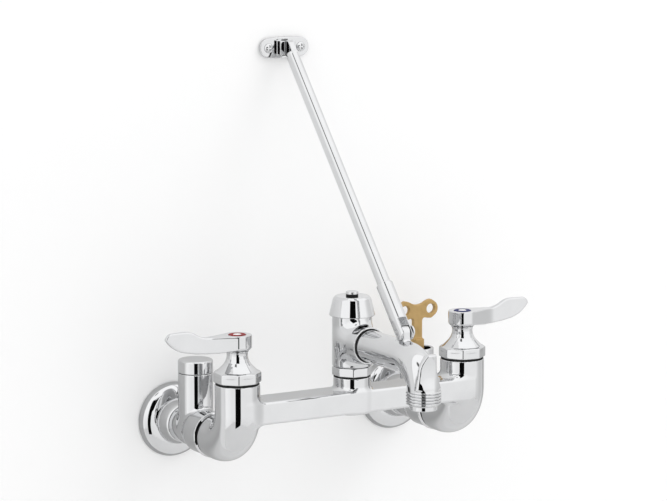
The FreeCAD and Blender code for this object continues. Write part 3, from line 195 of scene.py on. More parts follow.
def piece(name, node, shape, place, material=None):
    """Make an object of a shape (corners, normals, faces) in a frame and let it stand for the node."""
    corners, normals, faces = shape
    axes, origin = place
    mesh = bpy.data.meshes.new(name)
    mesh.from_pydata(((corners @ axes + origin) / 1000).tolist(), [], faces)
    mesh.validate()
    mesh.polygons.foreach_set("use_smooth", [True] * len(mesh.polygons))
    mesh.normals_split_custom_set_from_vertices((normals @ axes).tolist())
    mesh.materials.append(MATERIALS[material or SLOT_OF[node]])
    obj = bpy.data.objects.new(name, mesh)
    bpy.context.scene.collection.objects.link(obj)
    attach(obj, BODY_OF[node])
    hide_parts(node)


# Turned shapes

SMOOTH_TURN = math.radians(24)
ROUNDING_STEP = math.radians(18)
ON_AXIS = 1e-6
FINE = 128


def bow(start, end, radius, steps):
    """Points between start and end on an arc; a positive radius puts its centre to the left of the way."""
    a, b = np.array(start[:2], float), np.array(end[:2], float)
    chord = b - a
    half = np.linalg.norm(chord) / 2
    left = np.array([-chord[1], chord[0]]) / (2 * half)
    centre = (a + b) / 2 + left * math.copysign(math.sqrt(radius ** 2 - half ** 2), radius)
    first = math.atan2(*(a - centre)[::-1])
    sweep = 2 * math.asin(half / abs(radius)) * (1 if radius > 0 else -1)
    angles = [first + sweep * k / steps for k in range(1, steps)]
    return [(centre[0] + abs(radius) * math.cos(t), centre[1] + abs(radius) * math.sin(t)) for t in angles]


def chain(start, *legs):
    """An outline from a start. Each leg is its end, or its end, the radius of its arc and the arc's steps."""
    points = [start]
    for leg in legs:
        if isinstance(leg[0], tuple):
            points += bow(points[-1], *leg)
            leg = leg[0]
        points.append(leg)
    return points


def soften(outline, ease):
    """Round an outline's corners. Gives its points and outward normals, run anticlockwise."""
    points = [np.array(p[:2], float) for p in outline]
    rounds = [p[2] if len(p) > 2 else ease for p in outline]
    area = sum(p[0] * q[1] - q[0] * p[1] for p, q in zip(points, points[1:] + points[:1]))
    if area < 0:
        points.reverse()
        rounds.reverse()
    made = []
    for k, here in enumerate(points):
        before, after = points[k - 1], points[(k + 1) % len(points)]
        if here[0] < ON_AXIS:
            way = here - before if before[0] > ON_AXIS else after - here
            made.append((here, np.array([way[1], -way[0]]) / np.linalg.norm(way) * [0, 1]))
            continue
        back, ahead = before - here, after - here
        back_length, ahead_length = np.linalg.norm(back), np.linalg.norm(ahead)
        back, ahead = back / back_length, ahead / ahead_length
        turn = math.atan2(-back[0] * ahead[1] + back[1] * ahead[0], -back @ ahead)
        if abs(turn) < SMOOTH_TURN:
            way = ahead - back
            made.append((here, np.array([way[1], -way[0]]) / np.linalg.norm(way)))
            continue
        reach = min(rounds[k] * math.tan(abs(turn) / 2), 0.49 * back_length, 0.49 * ahead_length)
        radius = reach / math.tan(abs(turn) / 2)
        bisector = (back + ahead) / np.linalg.norm(back + ahead)
        centre = here + bisector * radius / math.cos(turn / 2)
        steps = max(2, math.ceil(abs(turn) / ROUNDING_STEP))
        start = here + back * reach - centre
        for step in range(steps + 1):
            angle = turn * step / steps
            c, s = math.cos(angle), math.sin(angle)
            arm = np.array([start[0] * c - start[1] * s, start[0] * s + start[1] * c])
            made.append((centre + arm, arm / radius * (1 if turn > 0 else -1)))
    return made


def lathe(outline, around=96):
    """Turn a closed outline of radius, height and rounding about the frame's Z."""
    ring = soften(outline, EDGE)
    angles = 2 * math.pi * np.arange(around) / around
    c, s = np.cos(angles), np.sin(angles)
    corners, normals, faces, starts = [], [], [], []
    total = 0
    for point, normal in ring:
        starts.append(total)
        if point[0] < ON_AXIS:
            corners.append(np.array([[0, 0, point[1]]]))
            normals.append(np.array([[0, 0, np.sign(normal[1]) or 1.0]]))
            total += 1
        else:
            corners.append(np.stack([point[0] * c, point[0] * s, np.full(around, point[1])], 1))
            normals.append(np.stack([normal[0] * c, normal[0] * s, np.full(around, normal[1])], 1))
            total += around
    for k, (point, _) in enumerate(ring):
        after = (k + 1) % len(ring)
        here_pole, there_pole = point[0] < ON_AXIS, ring[after][0][0] < ON_AXIS
        if here_pole and there_pole:
            continue
        a, b = starts[k], starts[after]
        for i in range(around):
            j = (i + 1) % around
            if here_pole:
                faces.append((a, b + j, b + i))
            elif there_pole:
                faces.append((a + i, a + j, b))
            else:
                faces.append((a + i, a + j, b + j, b + i))
    return np.concatenate(corners), np.concatenate(normals), faces


# Fields: distances that are negative inside a shape

EDGE = 0.3


def merge(a, b, radius):
    """Union of two fields with a fillet."""
    if radius <= 0:
        return np.minimum(a, b)
    near_a, near_b = np.maximum(radius - a, 0), np.maximum(radius - b, 0)
    return np.maximum(radius, np.minimum(a, b)) - np.hypot(near_a, near_b)


def common(a, b, radius=EDGE):
    """Intersection of two fields with a rounded edge."""
    return -merge(-a, -b, radius)


def carve(a, b, radius=EDGE):
    return common(a, -b, radius)


def between(level, low, high):
    return np.maximum(low - level, level - high)


def drum(distance, radius, level, low, high, ease=EDGE):
    """A round bar: distance from its axis, and level along it."""
    return common(distance - radius, between(level, low, high), ease)


def cone(distance, radius, level, at, slope):
    """The inside of a cone that has a radius at one level, and slope more for each step up."""
    return (distance - radius - slope * (level - at)) / math.hypot(1, slope)


def block(u, v, half_u, half_v, corner):
    """A rectangle with round corners, centred."""
    du, dv = np.abs(u) - half_u + corner, np.abs(v) - half_v + corner
    return np.hypot(np.maximum(du, 0), np.maximum(dv, 0)) + np.minimum(np.maximum(du, dv), 0) - corner


def octagon(x, y, radius, first_angle, corner):
    """Distance to an eight-sided bar of a radius over its corners, the first of which is at first_angle."""
    eighth = math.pi / 4
    flat = radius * math.cos(eighth / 2)
    angle = np.arctan2(y, x) - math.radians(first_angle) - eighth / 2
    angle = angle - np.round(angle / eighth) * eighth
    far = np.hypot(x, y)
    return common(far * np.cos(angle) - flat, far * np.cos(eighth - np.abs(angle)) - flat, corner)


def polygon(u, v, outline):
    """Signed distance to a closed outline in a plane."""
    points = np.array(outline, float)
    best = np.full(np.shape(u), np.inf)
    inside = np.zeros(np.shape(u), bool)
    for (ax, ay), (bx, by) in zip(points, np.roll(points, -1, 0)):
        ex, ey = bx - ax, by - ay
        px, py = u - ax, v - ay
        t = np.clip((px * ex + py * ey) / (ex * ex + ey * ey), 0, 1)
        best = np.minimum(best, (px - ex * t) ** 2 + (py - ey * t) ** 2)
        if ay != by:
            crosses = ((ay > v) != (by > v)) & (px < (v - ay) * ex / ey)
            inside ^= crosses
    return np.where(inside, -1, 1) * np.sqrt(best)


def bent_line(y, z, reach, height, bend):
    """Distance in a plane from a line that leaves the wall at a height and bends up or down at a reach."""
    radius = abs(bend)
    centre_y, centre_z = radius - reach, height + bend
    past = (z - centre_z) * math.copysign(1, bend) >= 0
    curve = np.abs(np.hypot(y - centre_y, z - centre_z) - radius)
    return np.where(past, np.abs(y + reach), np.where(y >= centre_y, np.abs(z - height), curve))


def smooth(t):
    """A step from 0 to 1 with level ends."""
    t = np.clip(t, 0, 1)
    return t * t * (3 - 2 * t)


def arc_radius(half_chord, rise):
    return (half_chord ** 2 + rise ** 2) / (2 * rise)


COARSE = 4
MARGIN = 1.5
BAND = 1.6
SLOPE_REACH = 0.02
PULLS = 3


def slope_of(field, points):
    parts = []
    for k in range(3):
        off = np.zeros(3)
        off[k] = SLOPE_REACH
        parts.append((field(*(points + off).T) - field(*(points - off).T)) / (2 * SLOPE_REACH))
    return np.stack(parts, 1)


def levels_on_grid(field, low, high, step):
    """The field on a grid, worked out in full only near the surface. Gives the grid's low corner too."""
    low = np.array(low, float) - MARGIN * step
    counts = np.ceil((np.array(high, float) + MARGIN * step - low) / step).astype(int) + 1
    counts = -(-counts // COARSE) * COARSE + 1
    axes = [low[k] + step * np.arange(counts[k]) for k in range(3)]
    rough = field(*np.meshgrid(*[axis[::COARSE] for axis in axes], indexing="ij"))
    nearest = []
    for k, count in enumerate(counts):
        nearest.append(np.minimum((np.arange(count) + COARSE // 2) // COARSE, rough.shape[k] - 1))
    level = rough[np.ix_(*nearest)]
    ix, iy, iz = np.nonzero(np.abs(level) < step * COARSE * BAND)
    level[ix, iy, iz] = field(axes[0][ix], axes[1][iy], axes[2][iz])
    return level, low


def surface(field, low, high, step):
    """Corners, normals and quads of the surface on which the field is zero."""
    level, low = levels_on_grid(field, low, high, step)
    cells = np.array(level.shape) - 1
    total = int(np.prod(cells))
    sums, hits, quads = np.zeros((total, 3)), np.zeros(total), []
    inside = level < 0
    for axis in range(3):
        first = [slice(None)] * 3
        second = [slice(None)] * 3
        first[axis], second[axis] = slice(0, -1), slice(1, None)
        crossing = inside[tuple(first)] != inside[tuple(second)]
        at = np.stack(np.nonzero(crossing), 1)
        others = [k for k in range(3) if k != axis]
        inner = np.all((at[:, others] > 0) & (at[:, others] < cells[others]), 1)
        at = at[inner]
        ahead = at.copy()
        ahead[:, axis] += 1
        f0, f1 = level[tuple(at.T)], level[tuple(ahead.T)]
        position = at.astype(float)
        position[:, axis] += f0 / (f0 - f1)
        corners = []
        for shift in ((0, 0), (1, 0), (1, 1), (0, 1)):
            cell = at.copy()
            cell[:, others[0]] -= shift[0]
            cell[:, others[1]] -= shift[1]
            flat = np.ravel_multi_index(tuple(cell.T), tuple(cells))
            corners.append(flat)
            for k in range(3):
                sums[:, k] += np.bincount(flat, position[:, k], total)
            hits += np.bincount(flat, minlength=total)
        quad = np.stack(corners, 1)
        flip = (f0 < 0) == (axis == 1)
        quad[flip] = quad[flip][:, ::-1]
        quads.append(quad)
    used = hits > 0
    order = np.cumsum(used) - 1
    points = low + step * sums[used] / hits[used][:, None]
    for _ in range(PULLS):
        slope = slope_of(field, points)
        size = np.maximum((slope ** 2).sum(1), 0.05)
        move = (field(*points.T) / size)[:, None] * slope
        length = np.linalg.norm(move, axis=1, keepdims=True)
        points = points - move * np.minimum(1, 0.7 * step / np.maximum(length, 1e-9))
    slope = slope_of(field, points)
    normals = slope / np.maximum(np.linalg.norm(slope, axis=1, keepdims=True), 1e-9)
    return points, normals, order[np.concatenate(quads)].tolist()


# Wall flanges, union nuts and stops

TAIL_RADIUS = 11.8
BARREL_RADIUS, BARREL_SWELL, BARREL_END = 14.8, 2.4, 72.7
TOWER_RADIUS, TOWER_TOP = 13.7, 44.3
# Bores that are open above are cut up to here, clear of the metal.
CUT_TOP = 60.0
# The tower's stepped bore from the top down: radius, floor and the rounding of its rim.
TOWER_BORES = ((11.3, 27.0, 0.4), (10.6, 18.0, 0.2), (9.8, 8.0, 0.2))


def wall_flange():
    back, front, hollow = 0, 9.8, 8.2
    outside = chain((29.8, back), (29.8, 1.8, 0.5), ((28.3, 5.5), 30.0, 6), ((22.0, 9.0), 11.0, 6),
                    (19.0, front, 0.4))
    inside = [(TAIL_RADIUS, front, 0.5), (TAIL_RADIUS, hollow), (19.0, hollow), (23.6, 5.6), (28.2, 1.0),
              (28.2, back)]
    return lathe(outside + inside, FINE)


def coupling_nut():
    back, front, shoulder = 10.1, 21.8, 12.15
    outside = [(TAIL_RADIUS, back), (18.5, back, 0.7), (16.2, 20.0, 2.4), (14.9, front, 0.5)]
    return lathe(outside + [(14.2, front), (14.2, shoulder), (TAIL_RADIUS, shoulder)], FINE)


def stop_body(x, y, z):
    """Its own origin lies on the tower's axis; its own Y points out from the wall."""
    across, side = np.hypot(x, z), np.hypot(x, y)
    reach = y + STOP_REACH
    swell = BARREL_SWELL * smooth((reach - 43.0) / 9.0)
    barrel = drum(across, BARREL_RADIUS + swell, reach, 22.1, BARREL_END, 0.6)
    barrel = merge(barrel, drum(across, 13.9, reach, 16.65, 30), 0.3)
    barrel = merge(barrel, drum(across, 17.9, reach, 68.9, BARREL_END, 0.5), 0.8)
    barrel = common(barrel, cone(across, 17.7, reach, 70.2, -2.045), 0.5)
    shape = merge(barrel, drum(side, TOWER_RADIUS, z, 0, TOWER_TOP, 0.5), 2.2)
    for radius, floor, rim in TOWER_BORES:
        shape = carve(shape, drum(side, radius, z, floor, CUT_TOP), rim)
    shape = carve(shape, drum(np.hypot(x, z + 5.0), 6.5, reach, 0, 44.0), 0.4)
    shape = carve(shape, drum(side, 5.0, z, -5.0, 12.0), 0.4)
    shape = carve(shape, drum(np.hypot(x, z - 8.5), 5.0, reach, 47.3, 60.0), 0.4)
    return carve(shape, drum(across, 13.0, reach, 56.0, 90.0), 0.4)


def stop_painted_shade():
    """A black ring that stands in for the shade in the gap between a stop and the casting: painted shade."""
    return lathe([(13.4, 70.0), (15.6, 70.0), (15.6, 74.8), (13.4, 74.8)])


def stop_cap():
    skirt, seat, inner_top, top = 38.3, TOWER_TOP + 0.3, 49.0, 54.8
    outside = [(11.0, skirt), (11.0, seat, 0.2), (TOWER_RADIUS, seat, 0.5), (TOWER_RADIUS, top, 1.7)]
    return lathe([(8.0, skirt)] + outside + [(0, top), (0, inner_top), (8.0, inner_top)], FINE)


KEY_EYE, KEY_EYE_HEIGHT, KEY_TIP = 12.1, 75.4, 34.0
KEY_HEAD = [(-KEY_EYE, 68.8), (KEY_EYE, 68.8), (KEY_EYE, 82.0), (6.0, 80.2), (0, 79.4), (-6.0, 80.2),
            (-KEY_EYE, 82.0)]


def loose_key(x, y, z):
    """A plate with two eyes, on a foot with a square socket."""
    eyes = np.hypot(np.abs(x) - KEY_EYE, z - KEY_EYE_HEIGHT)
    plate = merge(block(x, z - 60.0, 4.1, 14.0, 0.5), polygon(x, z, KEY_HEAD), 3.0)
    plate = common(merge(plate, eyes - 6.8, 3.5), 3.9 - eyes, 0.2)
    plate = common(plate, between(y, -2.0, 2.0), 0.7)
    foot = common(block(x, y, 4.5, 4.5, 0.8), between(z, KEY_TIP, 51.7), 0.8)
    shape = common(merge(plate, foot, 1.2), KEY_TIP - z)
    return carve(shape, np.maximum(block(x, y, 3.05, 3.05, 0.3), z - 41.3))


# Casting, bonnets and levers

BAR_HEIGHT, PASSAGE_HEIGHT = 24.2, 26.6
# Radius over the corners of the eight-sided forms.
CORNER_RADIUS = {"bonnet": 18.6, "nut": 15.8}


def mixing_body(x, y, z):
    out, off = y + VALVE_REACH, np.abs(x) - HALF_SPACING
    boss_side, valve_side = np.hypot(x, out), np.hypot(off, out)
    tube = np.hypot(bent_line(y, z, VALVE_REACH, 0.0, 25.0), off)
    bar = common(block(out, z - BAR_HEIGHT, 14.0, 8.9, 1.5), between(x, -HALF_SPACING, HALF_SPACING), 0.5)
    arms = common(common(tube - 17.4, y + 73.3, 2.4), z - 47.0, 0.5)
    shape = merge(bar, drum(boss_side, 14.6, z, 15.3, 43.0, 0.5), 3.5)
    shape = merge(shape, arms, 5.0)
    shape = merge(shape, drum(boss_side, 12.6, z, 40.0, 46.5), 0.3)
    shape = merge(shape, drum(np.hypot(off, z), 12.7, y, -80.0, -63.3), 0.3)
    shape = carve(shape, common(tube - 9.0, z - 30.0), 0.4)
    shape = carve(shape, drum(valve_side, 12.5, z, 20.0, CUT_TOP))
    shape = carve(shape, drum(valve_side, 15.2, z, 38.0, CUT_TOP))
    shape = carve(shape, drum(np.hypot(out, z - PASSAGE_HEIGHT), 4.8, x, -HALF_SPACING, HALF_SPACING))
    return carve(shape, drum(boss_side, 8.0, z, PASSAGE_HEIGHT, CUT_TOP))


BELL = [(0, 54.0), (17.18, 54.0), (17.18, 56.6), (15.6, 57.5), (13.2, 59.8), (11.0, 62.1), (9.4, 64.4),
        (8.4, 67.0), (8.0, 69.5), (8.2, 71.6), (9.1, 73.2), (0, 73.2)]


def bonnet(x, y, z):
    """An eight-sided foot with bevelled corners under a bell-shaped neck."""
    side, radius = np.hypot(x, y), CORNER_RADIUS["bonnet"]
    bottom, top, bevel = 48.7, 56.6, 0.7
    foot = common(octagon(x, y, radius, 0, 0.7), between(z, bottom, top), 0.4)
    foot = common(foot, cone(side, radius - bevel, z, top, -1), 0.4)
    foot = common(foot, cone(side, radius - bevel, z, bottom, 1), 0.4)
    shape = merge(foot, polygon(side, z, BELL), 0.9)
    shape = merge(shape, drum(side, 14.9, z, 40.8, 50.0), 0.3)
    shape = carve(shape, drum(side, 11.5, z, 30.0, 51.0))
    return carve(shape, drum(side, 4.4, z, 45.0, 80.0))


def bonnet_painted_shade():
    """A black ring that stands in for the shade in the gap between a bonnet and the casting: painted shade.
    """
    return lathe([(14.6, 46.4), (16.8, 46.4), (16.8, 49.0), (14.6, 49.0)])


HUB_FOOT, HUB_TOP = 73.5, 85.4
INDEX_RADIUS, INDEX_INNER, INDEX_FLOOR, INDEX_STEP = 6.7, 3.2, 82.7, 84.4
BLADE_ROOT = 26.0
LEVER_SIDE = chain((0, 75.4), ((45.0, 75.2), 103.6, 5), ((61.7, 86.3), 25.9, 5), ((57.3, 91.2), 7.0, 5),
                   (45.0, 91.5), ((35.5, 88.45), 17.1, 4), ((BLADE_ROOT, HUB_TOP), -19.0, 4), (0, HUB_TOP))


def lever(x, y, z):
    """A blade whose plan narrows from the round hub, with its outline seen from the side."""
    side, run = np.hypot(x, y), 26.6 - x
    tip = np.clip((x - BLADE_ROOT) / 36.0, 0, 1)
    width = 2.2 - 0.45 * tip + 0.182 * (run + np.hypot(run, 4.0) - 0.3)
    blade = common(polygon(x, z, LEVER_SIDE), (np.abs(y) - width) * 0.95, 1.1)
    blade = common(blade, 3.2 - x)
    hub = common(drum(side, 11.2, z, HUB_FOOT, HUB_TOP, 0.5), cone(side, 9.6, z, HUB_FOOT, 0.842), 0.5)
    shape = merge(blade, hub, 0)
    shape = common(shape, z - HUB_TOP - 6.2 * np.clip((x - 20) / 10, 0, 1))
    shape = carve(shape, drum(side, 4.0, z, 60.0, 80.0, 0.2))
    return carve(shape, drum(side, 6.9, z, 80.0, 100.0, 0.2), 0.4)


def index_plug():
    foot = [(0, INDEX_FLOOR), (INDEX_RADIUS, INDEX_FLOOR), (INDEX_RADIUS, INDEX_STEP)]
    return lathe(foot + [(INDEX_INNER, INDEX_STEP), (INDEX_INNER, 85.6, 0.3), (0, 85.7)])


def index_ring():
    inner, top = INDEX_INNER + 0.1, 85.6
    foot = [(inner, INDEX_STEP), (INDEX_RADIUS, INDEX_STEP)]
    return lathe(foot + [(INDEX_RADIUS, top, 0.4), (inner, top, 0.3)])


# Vacuum breaker

SOCKET_RADIUS, SOCKET_BORE, SOCKET_END = 14.4, 13.0, 27.0
SCREW_RADIUS, SCREW_TOP = 1.7, 109.8
HOOD_TOP = 106.3


def breaker_nut(x, y, z):
    side, radius = np.hypot(x, y), CORNER_RADIUS["nut"]
    bottom, top, bevel = 44.3, 51.0, 0.8
    nut = common(octagon(x, y, radius, 18.9, 0.6), between(z, bottom, top), 0.4)
    nut = common(nut, cone(side, radius - bevel, z, top, -1), 0.4)
    nut = carve(nut, drum(side, 12.9, z, 30.0, 49.2))
    return carve(nut, drum(side, 11.3, z, 30.0, 60.0))


def nut_painted_shade():
    """A black ring that stands in for the shade in the gap between the breaker's nut and the casting's boss:
    painted shade.
    """
    return lathe([(13.2, 42.7), (14.4, 42.7), (14.4, 44.6), (13.2, 44.6)])


def breaker_body(x, y, z):
    side, across = np.hypot(x, y), np.hypot(x, z - SPOUT_HEIGHT)
    barrel = drum(side, 15.5, z, 51.3, 92.0, 1.2)
    shape = merge(barrel, drum(across, SOCKET_RADIUS, -y, 0, SOCKET_END, 0.8), 6.0)
    shape = merge(shape, drum(side, 11.0, z, 48.0, 53.0), 0.3)
    shape = merge(shape, drum(side, 12.3, z, 47.7, 49.2), 0.3)
    shape = carve(shape, drum(side, 8.0, z, 30.0, 62.0))
    shape = carve(shape, drum(side, 12.3, z, 60.0, 120.0))
    return carve(shape, drum(across, SOCKET_BORE, -y, 18.0, 60.0), 0.5)


def socket_painted_shade():
    """A black ring that stands in for the shade in the groove between the socket and the spout: painted
    shade.
    """
    back, step, front = 18.3, SOCKET_END + 0.9, SOCKET_END + 1.9
    outside = [(12.9, back), (12.9, step, 0.3), (12.1, step + 0.3), (12.1, front)]
    return lathe([(10.7, back)] + outside + [(10.7, front)])


def vent_hood():
    foot, ceiling = 91.0, 103.75
    inside = [(1.8, 98.0), (3.5, 98.0), (3.5, ceiling), (13.1, ceiling, 1.0), (16.3, foot)]
    outside = [(18.0, foot, 0.6), (14.8, 104.6, 1.6), (13.1, HOOD_TOP, 1.4), (1.8, HOOD_TOP)]
    return lathe(inside + outside, FINE)


def hood_screw():
    tip, seat = 88.8, HOOD_TOP + 1.3
    shank = [(0, tip), (SCREW_RADIUS, tip), (SCREW_RADIUS, seat)]
    return lathe(shank + [(4.9, seat, 0.3), (4.9, SCREW_TOP, 0.7), (0, SCREW_TOP)])


def screw_painted_shade():
    """A black band under the screw's head that stands in for the shade there: painted shade."""
    low, high = HOOD_TOP - 0.2, HOOD_TOP + 1.5
    return lathe([(SCREW_RADIUS, low), (4.8, low), (4.8, high), (SCREW_RADIUS, high)])


# Spout

TUBE_RADIUS, TUBE_BORE, TUBE_FOOT = 12.5, 8.0, 49.0
LUG_RADIUS, LUG_HALF_WIDTH, PIN_HOLE = 5.0, 3.3, 2.1
PAIL_STOP = [(-3.6, 78.8), (-6.0, 75.4), (-8.0, 72.0), (-9.2, 68.0), (-9.8, 62.0), (-11.0, 52.0),
             (10.0, 52.0), (7.2, 58.0), (5.6, 66.0), (4.9, 73.0), (4.3, 78.8)]


def spout_body(x, y, z):
    tube = np.hypot(bent_line(y, z, OUTLET_REACH, SPOUT_HEIGHT, -24.0), x)
    out = np.abs(y + LUG_REACH)
    shape = common(common(tube - TUBE_RADIUS, y + 136.1), TUBE_FOOT - z, 0.5)
    shape = merge(shape, pail_stop(x, y, z), 1.8)
    lug = np.hypot(out, np.maximum(z - LUG_HEIGHT, 0)) - LUG_RADIUS
    lug = common(common(lug, 76.0 - z, 0.2), np.abs(x) - LUG_HALF_WIDTH, 0.8)
    shape = merge(shape, lug, 1.6)
    shape = carve(shape, np.hypot(out, z - LUG_HEIGHT) - PIN_HOLE)
    plug = drum(np.hypot(x, z - SPOUT_HEIGHT), 10.8, -y, 122.0, 139.0, 0.4)
    return common(merge(shape, plug, 0.2), TUBE_BORE - tube)


def pail_stop(x, y, z):
    """A narrow tongue up the elbow's front, curled outward at its lip."""
    out = -(y + OUTLET_REACH)
    lean = 0.007 * np.maximum(z - 64.0, 0) ** 2
    front = out - (11.1 + lean - 0.024 * x * x)
    back = 6.0 + 0.8 * lean - out
    return common(common(front, polygon(x, z, PAIL_STOP), 1.2), back, 0.7)


PITCH = 2.2
CREST_RADIUS, ROOT_RADIUS, NOSE_RADIUS = 13.38, 12.1, 10.8
THREAD_TOP, THREAD_FOOT, RUN_OUT = 50.2, 39.4, 0.9
NOSE_END = 35.5
MOUTH = ((NOSE_RADIUS, 0.6), (10.65, 0.25), (10.3, 0.0), (8.4, 0.0), (8.1, 0.1), (TUBE_BORE, 0.4),
         (TUBE_BORE, 15.0))


def thread_radius(level, angle):
    phase = np.mod((level + PITCH * angle / (2 * math.pi)) / PITCH, 1.0)
    ridge = smooth(np.minimum(phase, 1 - phase) * 4.4 - 0.45)
    ends = np.clip((THREAD_TOP - level) / RUN_OUT, 0, 1) * np.clip((level - THREAD_FOOT) / RUN_OUT, 0, 1)
    nose = np.clip((THREAD_FOOT + 0.5 - level) / RUN_OUT, 0, 1)
    return ROOT_RADIUS + (CREST_RADIUS - ROOT_RADIUS) * ridge * ends - (ROOT_RADIUS - NOSE_RADIUS) * nose


def hose_thread(around=144):
    """The outlet's end: one helical ridge of five turns, a plain nose and the bore, about the frame's Z."""
    levels = [50.5, 50.0] + list(np.arange(49.9, 39.0, -0.14)) + [38.9, 38.6]
    angles = 2 * math.pi * np.arange(around) / around
    rings = [(thread_radius(level, angles), level) for level in levels]
    rings += [(np.full(around, flat), NOSE_END + up) for flat, up in MOUTH]
    count = len(rings)
    grid = np.empty((count, around, 3))
    for row, (radius, level) in zip(grid, rings):
        row[:] = np.stack([radius * np.cos(angles), radius * np.sin(angles), np.full(around, level)], 1)
    along = np.empty_like(grid)
    along[1:-1] = grid[2:] - grid[:-2]
    along[0], along[-1] = grid[1] - grid[0], grid[-1] - grid[-2]
    across = np.roll(grid, -1, 1) - np.roll(grid, 1, 1)
    normals = np.cross(along, across)
    normals = normals / np.linalg.norm(normals, axis=2, keepdims=True)
    faces = []
    for k in range(count):
        here, there = k * around, (k + 1) % count * around
        for i in range(around):
            j = (i + 1) % around
            faces.append((here + i, there + i, there + j, here + j))
    return grid.reshape(-1, 3), normals.reshape(-1, 3), faces


# Brace and wall bracket

ROD_RADIUS, EYE_OFFSET, EYE_RISE = 5.2, 4.2, 2.4
PLATE_HALF_LENGTH, PLATE_HALF_HEIGHT, PLATE_THICKNESS = 22.0, 8.48, 3.0
HALF_SCREW_SPACING, SHANK_RADIUS = 14.5, 2.1
ROD_TOP = BRACE_LENGTH + EYE_RISE


def brace_fork(x, y, z):
    """A sleeve round the rod, narrowed to two cheeks with a slot between them."""
    side = np.hypot(x, y)
    shape = drum(side, 6.5, z, -20.0, 42.7, 0.5)
    foot = np.where(z > 0, np.abs(y) - 9.0, np.hypot(y, z) - 6.3)
    shape = common(shape, foot, 0.4)
    shape = carve(shape, common(6.2 - np.abs(x), z - 9.3, 0.5), 0.4)
    shape = carve(shape, common(np.abs(x) - 3.6, z - 9.6, 0.4), 0.5)
    shape = carve(shape, np.hypot(y, z) - PIN_HOLE, 0.2)
    return carve(shape, drum(side, 5.5, z, 14.0, 60.0), 0.4)


def brace_rod(x, y, z):
    """A round rod with a flattened tongue, whose eye lies a little off the rod's line."""
    shoulder = BRACE_LENGTH - 7.0
    past = np.maximum(z - BRACE_LENGTH, 0)
    eye = np.hypot(y - EYE_OFFSET, z - ROD_TOP)
    tongue = merge(np.hypot(y, past) - ROD_RADIUS, eye - 3.6, 1.0)
    tongue = common(common(tongue, shoulder - 2 - z, 0.2), np.abs(x) - 2.4, 0.5)
    shape = merge(drum(np.hypot(x, y), ROD_RADIUS, z, 16.0, shoulder, 0.5), tongue, 0.6)
    return carve(shape, eye - 1.7)


def fork_pin():
    end, head = 6.2, 7.9
    return lathe([(0, -end), (2.0, -end), (2.0, end, 0.1), (4.5, end, 0.3), (4.5, head, 0.9), (0, head)])


def eye_place():
    """The reach and height of the rod's eye."""
    axes, origin = on_brace()
    eye = np.array([0, EYE_OFFSET, ROD_TOP]) @ axes + origin
    return -eye[1], eye[2]


EYE_REACH, EYE_HEIGHT = eye_place()


def bracket_pin():
    radius, low, high = 1.6, -5.4, 6.9
    return lathe([(0, low), (radius, low), (radius, high), (0, high)], 48)


def wall_bracket(x, y, z):
    """An oval plate with two ears and a window between them. Its own Y points out from the wall."""
    end_arc, edge_arc = arc_radius(7.4, 5.5), arc_radius(16.5, 1.1)
    past = np.abs(x) - (PLATE_HALF_LENGTH - end_arc)
    ends = np.where(past > 0, np.hypot(past, z) - end_arc, -5.0)
    edges = np.hypot(x, np.abs(z) + (edge_arc - PLATE_HALF_HEIGHT)) - edge_arc
    plate = common(np.maximum(ends, edges), np.abs(x) - PLATE_HALF_LENGTH)
    plate = common(plate, between(y, 0.0, PLATE_THICKNESS), 0.5)
    ears = common(block(x, z - 0.2, 6.9, 5.5, 0.5), between(y, 0.0, 8.3), 0.6)
    shape = merge(plate, ears, 0.5)
    shape = carve(shape, np.maximum(np.abs(x) - 2.7, np.abs(z) - 6.4), 0.4)
    pin_hole = np.hypot(y - EYE_REACH, z - (EYE_HEIGHT - BRACKET_HEIGHT)) - 1.7
    shape = carve(shape, np.maximum(pin_hole, x - 5.5), 0.2)
    return carve(shape, np.hypot(np.abs(x) - HALF_SCREW_SPACING, z) - 3.4)


def bracket_screw(x, y, z):
    """A pan head with a crossed recess, on a plain shank with a point."""
    side = np.hypot(x, y)
    head = common(drum(side, 4.0, z, PLATE_THICKNESS, 5.3), np.hypot(side, z - 0.2) - 5.1, 0.4)
    shank = common(side - SHANK_RADIUS, z - 4.0, 0.2)
    shank = common(shank, cone(side, SHANK_RADIUS, z, -16.8, 0.5))
    slot_x = np.maximum(np.abs(x) - 2.3, np.abs(y) - 0.55)
    slot_y = np.maximum(np.abs(x) - 0.55, np.abs(y) - 2.3)
    recess = np.maximum(np.minimum(slot_x, slot_y), 4.1 - z)
    return carve(merge(head, shank, 0.2), recess, 0.15)


# Assembly

def both_sides(name, shape, place_of):
    for side, sign in SIDES.items():
        piece(f"{side}_{name}_shape", f"{side}_{name}", shape, place_of(sign))


def make_wall_pieces():
    both_sides("wall_flange", wall_flange(), at_inlet)
    both_sides("coupling_nut", coupling_nut(), at_inlet)
    stop = surface(stop_body, (-18.2, -24, -18.2), (18.2, 33, 44.6), 0.8)
    both_sides("stop_body", stop, lambda sign: at_stop(sign, 180))
    piece("stop_cap_shape", "hot_stop_cap", stop_cap(), at_stop(SIDES["hot"]))
    key = surface(loose_key, (-19.2, -4.8, 34), (19.2, 4.8, 82.4), 0.5)
    piece("loose_key_shape", "loose_key", key, at_stop(SIDES["cold"]))


